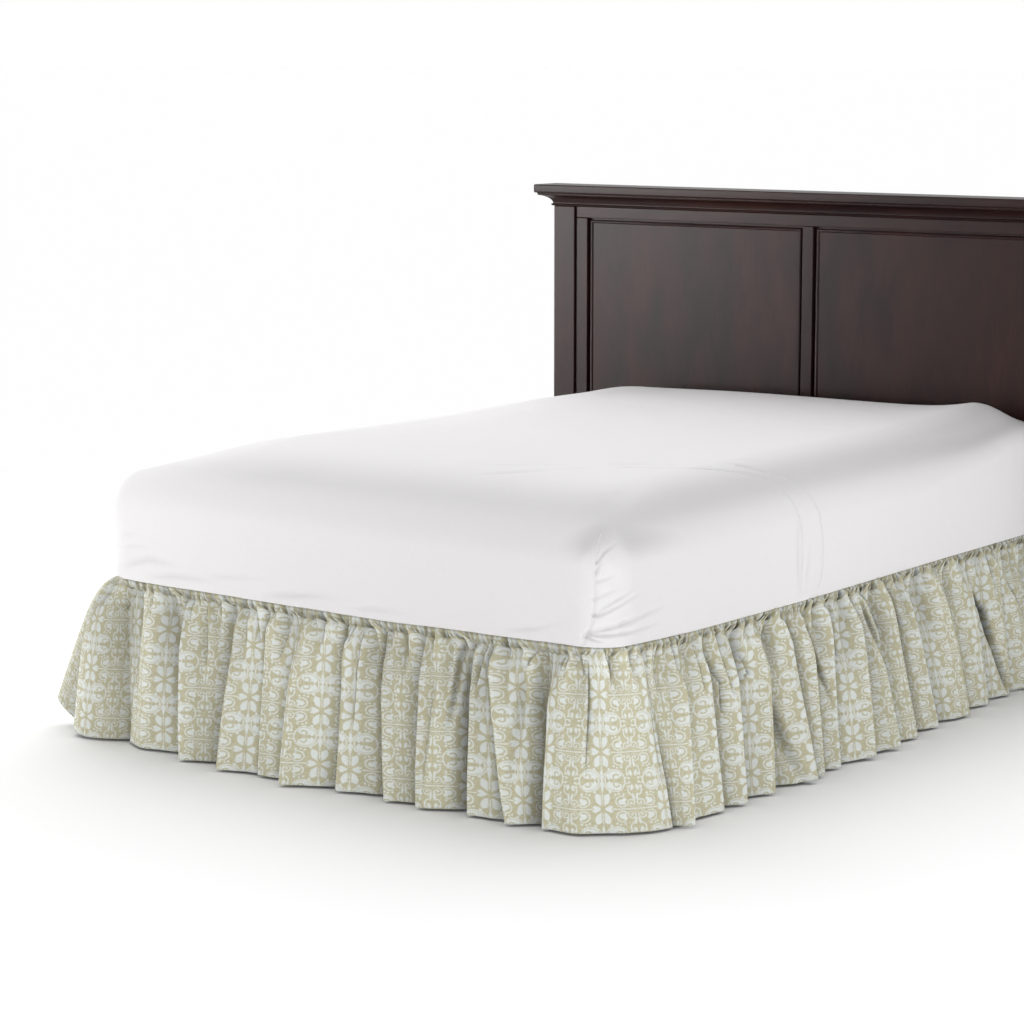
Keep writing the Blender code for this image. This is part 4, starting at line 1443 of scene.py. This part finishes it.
CAP_ROUND, POST_ROUND, STILE_ROUND, RAIL_ROUND = 0.004, 0.0028, 0.0022, 0.0018  # of edges


def build_headboard(upright, level):
    build_board("cap", level, CAP_ROUND)
    build_crown(level)
    for node in ("post_left", "post_right"):
        build_board(node, upright, POST_ROUND)
    for node in ("stile_left", "stile_middle", "stile_right"):
        build_board(node, upright, STILE_ROUND)
    for node in ("top_rail", "bottom_rail"):
        build_board(node, level, RAIL_ROUND)
    for node in ("panel_left", "panel_right"):
        build_panel(node, upright)


# --- Studio ----------------------------------------------------------------------------
WALL_GLOW, CEILING_GLOW = 1.0, 0.40
GLOW_FADE = (0.05, 0.18)                # sines of the angles above level where the walls end
OVERHEAD_POWER = 2.30
OVERHEAD_SPREAD = 75.0                  # degrees
OVERHEAD_FROM = (-0.36, 0.42, 0.83)
SOFT_BOXES = (
    # name, place, what it faces, width and height, watts, spread in degrees
    ("Headboard sheen", (-5.0, -3.9, 1.5), (-0.9, 1.05, 1.05), (2.6, 2.0), 19.0, 34.0),
    ("Foot fill", (0.1, -7.0, 0.8), (0.0, -1.0, 0.35), (2.0, 1.0), 58.0, 180.0),
    ("Low right", (3.9, -1.9, 0.35), (0.8, -0.2, 0.35), (1.0, 0.5), 31.0, 180.0),
)
FLOOR_SIZE = 1600.0
VIEW_REACH = 2000.0                     # past the floor's far edge
CAMERA_PLACE = (4.156, -5.876, 1.654)
CAMERA_TURN = (81.004, 0.031, 36.945)   # degrees
CAMERA_LENS, SENSOR_WIDTH = 99.41, 36.0 # mm


def build_camera():
    camera = bpy.data.cameras.new("Camera")
    camera.lens = CAMERA_LENS
    camera.sensor_width = SENSOR_WIDTH
    camera.sensor_fit = "HORIZONTAL"
    camera.clip_end = VIEW_REACH
    seat = add_to_scene("Camera", camera)
    seat.location = CAMERA_PLACE
    seat.rotation_euler = [math.radians(turn) for turn in CAMERA_TURN]
    bpy.context.scene.camera = seat


def area_light(name, place, target, size, power, spread):
    light = bpy.data.lights.new(name, "AREA")
    light.shape = "RECTANGLE"
    light.size, light.size_y = size
    light.energy = power
    light.spread = math.radians(spread)
    seat = add_to_scene(name, light)
    seat.location = place
    seat.rotation_euler = (Vector(target) - Vector(place)).to_track_quat("-Z", "Y").to_euler()
    seat.visible_camera = False


def build_studio(floor_finish):
    deselect()
    bpy.ops.mesh.primitive_plane_add(size=FLOOR_SIZE, location=(0.0, 0.0, 0.0))
    floor = bpy.context.object
    floor.name = "floor"
    settle(floor)
    wear(floor, floor_finish)

    world = bpy.data.worlds.new("Studio")
    bpy.context.scene.world = world
    world.use_nodes = True
    tree = world.node_tree
    sky = tree.nodes["Background"]
    sky.inputs["Color"].default_value = (1.0, 1.0, 1.0, 1.0)
    # The walls are white up to a little over eye level, and the room is dimmer above.
    upward = add(tree, "SeparateXYZ", [add(tree, "TexCoord").outputs["Generated"]]).outputs["Z"]
    glow = add(tree, "MapRange", [upward, *GLOW_FADE, WALL_GLOW, CEILING_GLOW])
    connect(tree, glow, sky.inputs["Strength"])

    sun = bpy.data.lights.new("Broad overhead", "SUN")
    sun.energy = OVERHEAD_POWER
    sun.angle = math.radians(OVERHEAD_SPREAD)
    seat = add_to_scene("Broad overhead", sun)
    seat.rotation_euler = Vector(OVERHEAD_FROM).to_track_quat("Z", "Y").to_euler()
    for soft_box in SOFT_BOXES:
        area_light(*soft_box)
    bpy.context.scene.view_settings.view_transform = "Standard"


# --- The whole -------------------------------------------------------------------------
def dress_frame(steel, ticking):
    for name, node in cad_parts.items():
        if name.startswith(("rail_", "cross_rail_", "leg_", "bracket_")):
            wear(node, steel)
    wear(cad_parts["foundation"], ticking)


build_camera()
build_studio(studio_floor())
build_ruffle(printed_cotton())
build_deck(plain_cotton())
build_mattress(sheet_cotton())
build_headboard(
    upright=stained_wood("Espresso wood upright", "Z"),
    level=stained_wood("Espresso wood level", "X"),
)
dress_frame(painted_steel(), ticking_cloth())
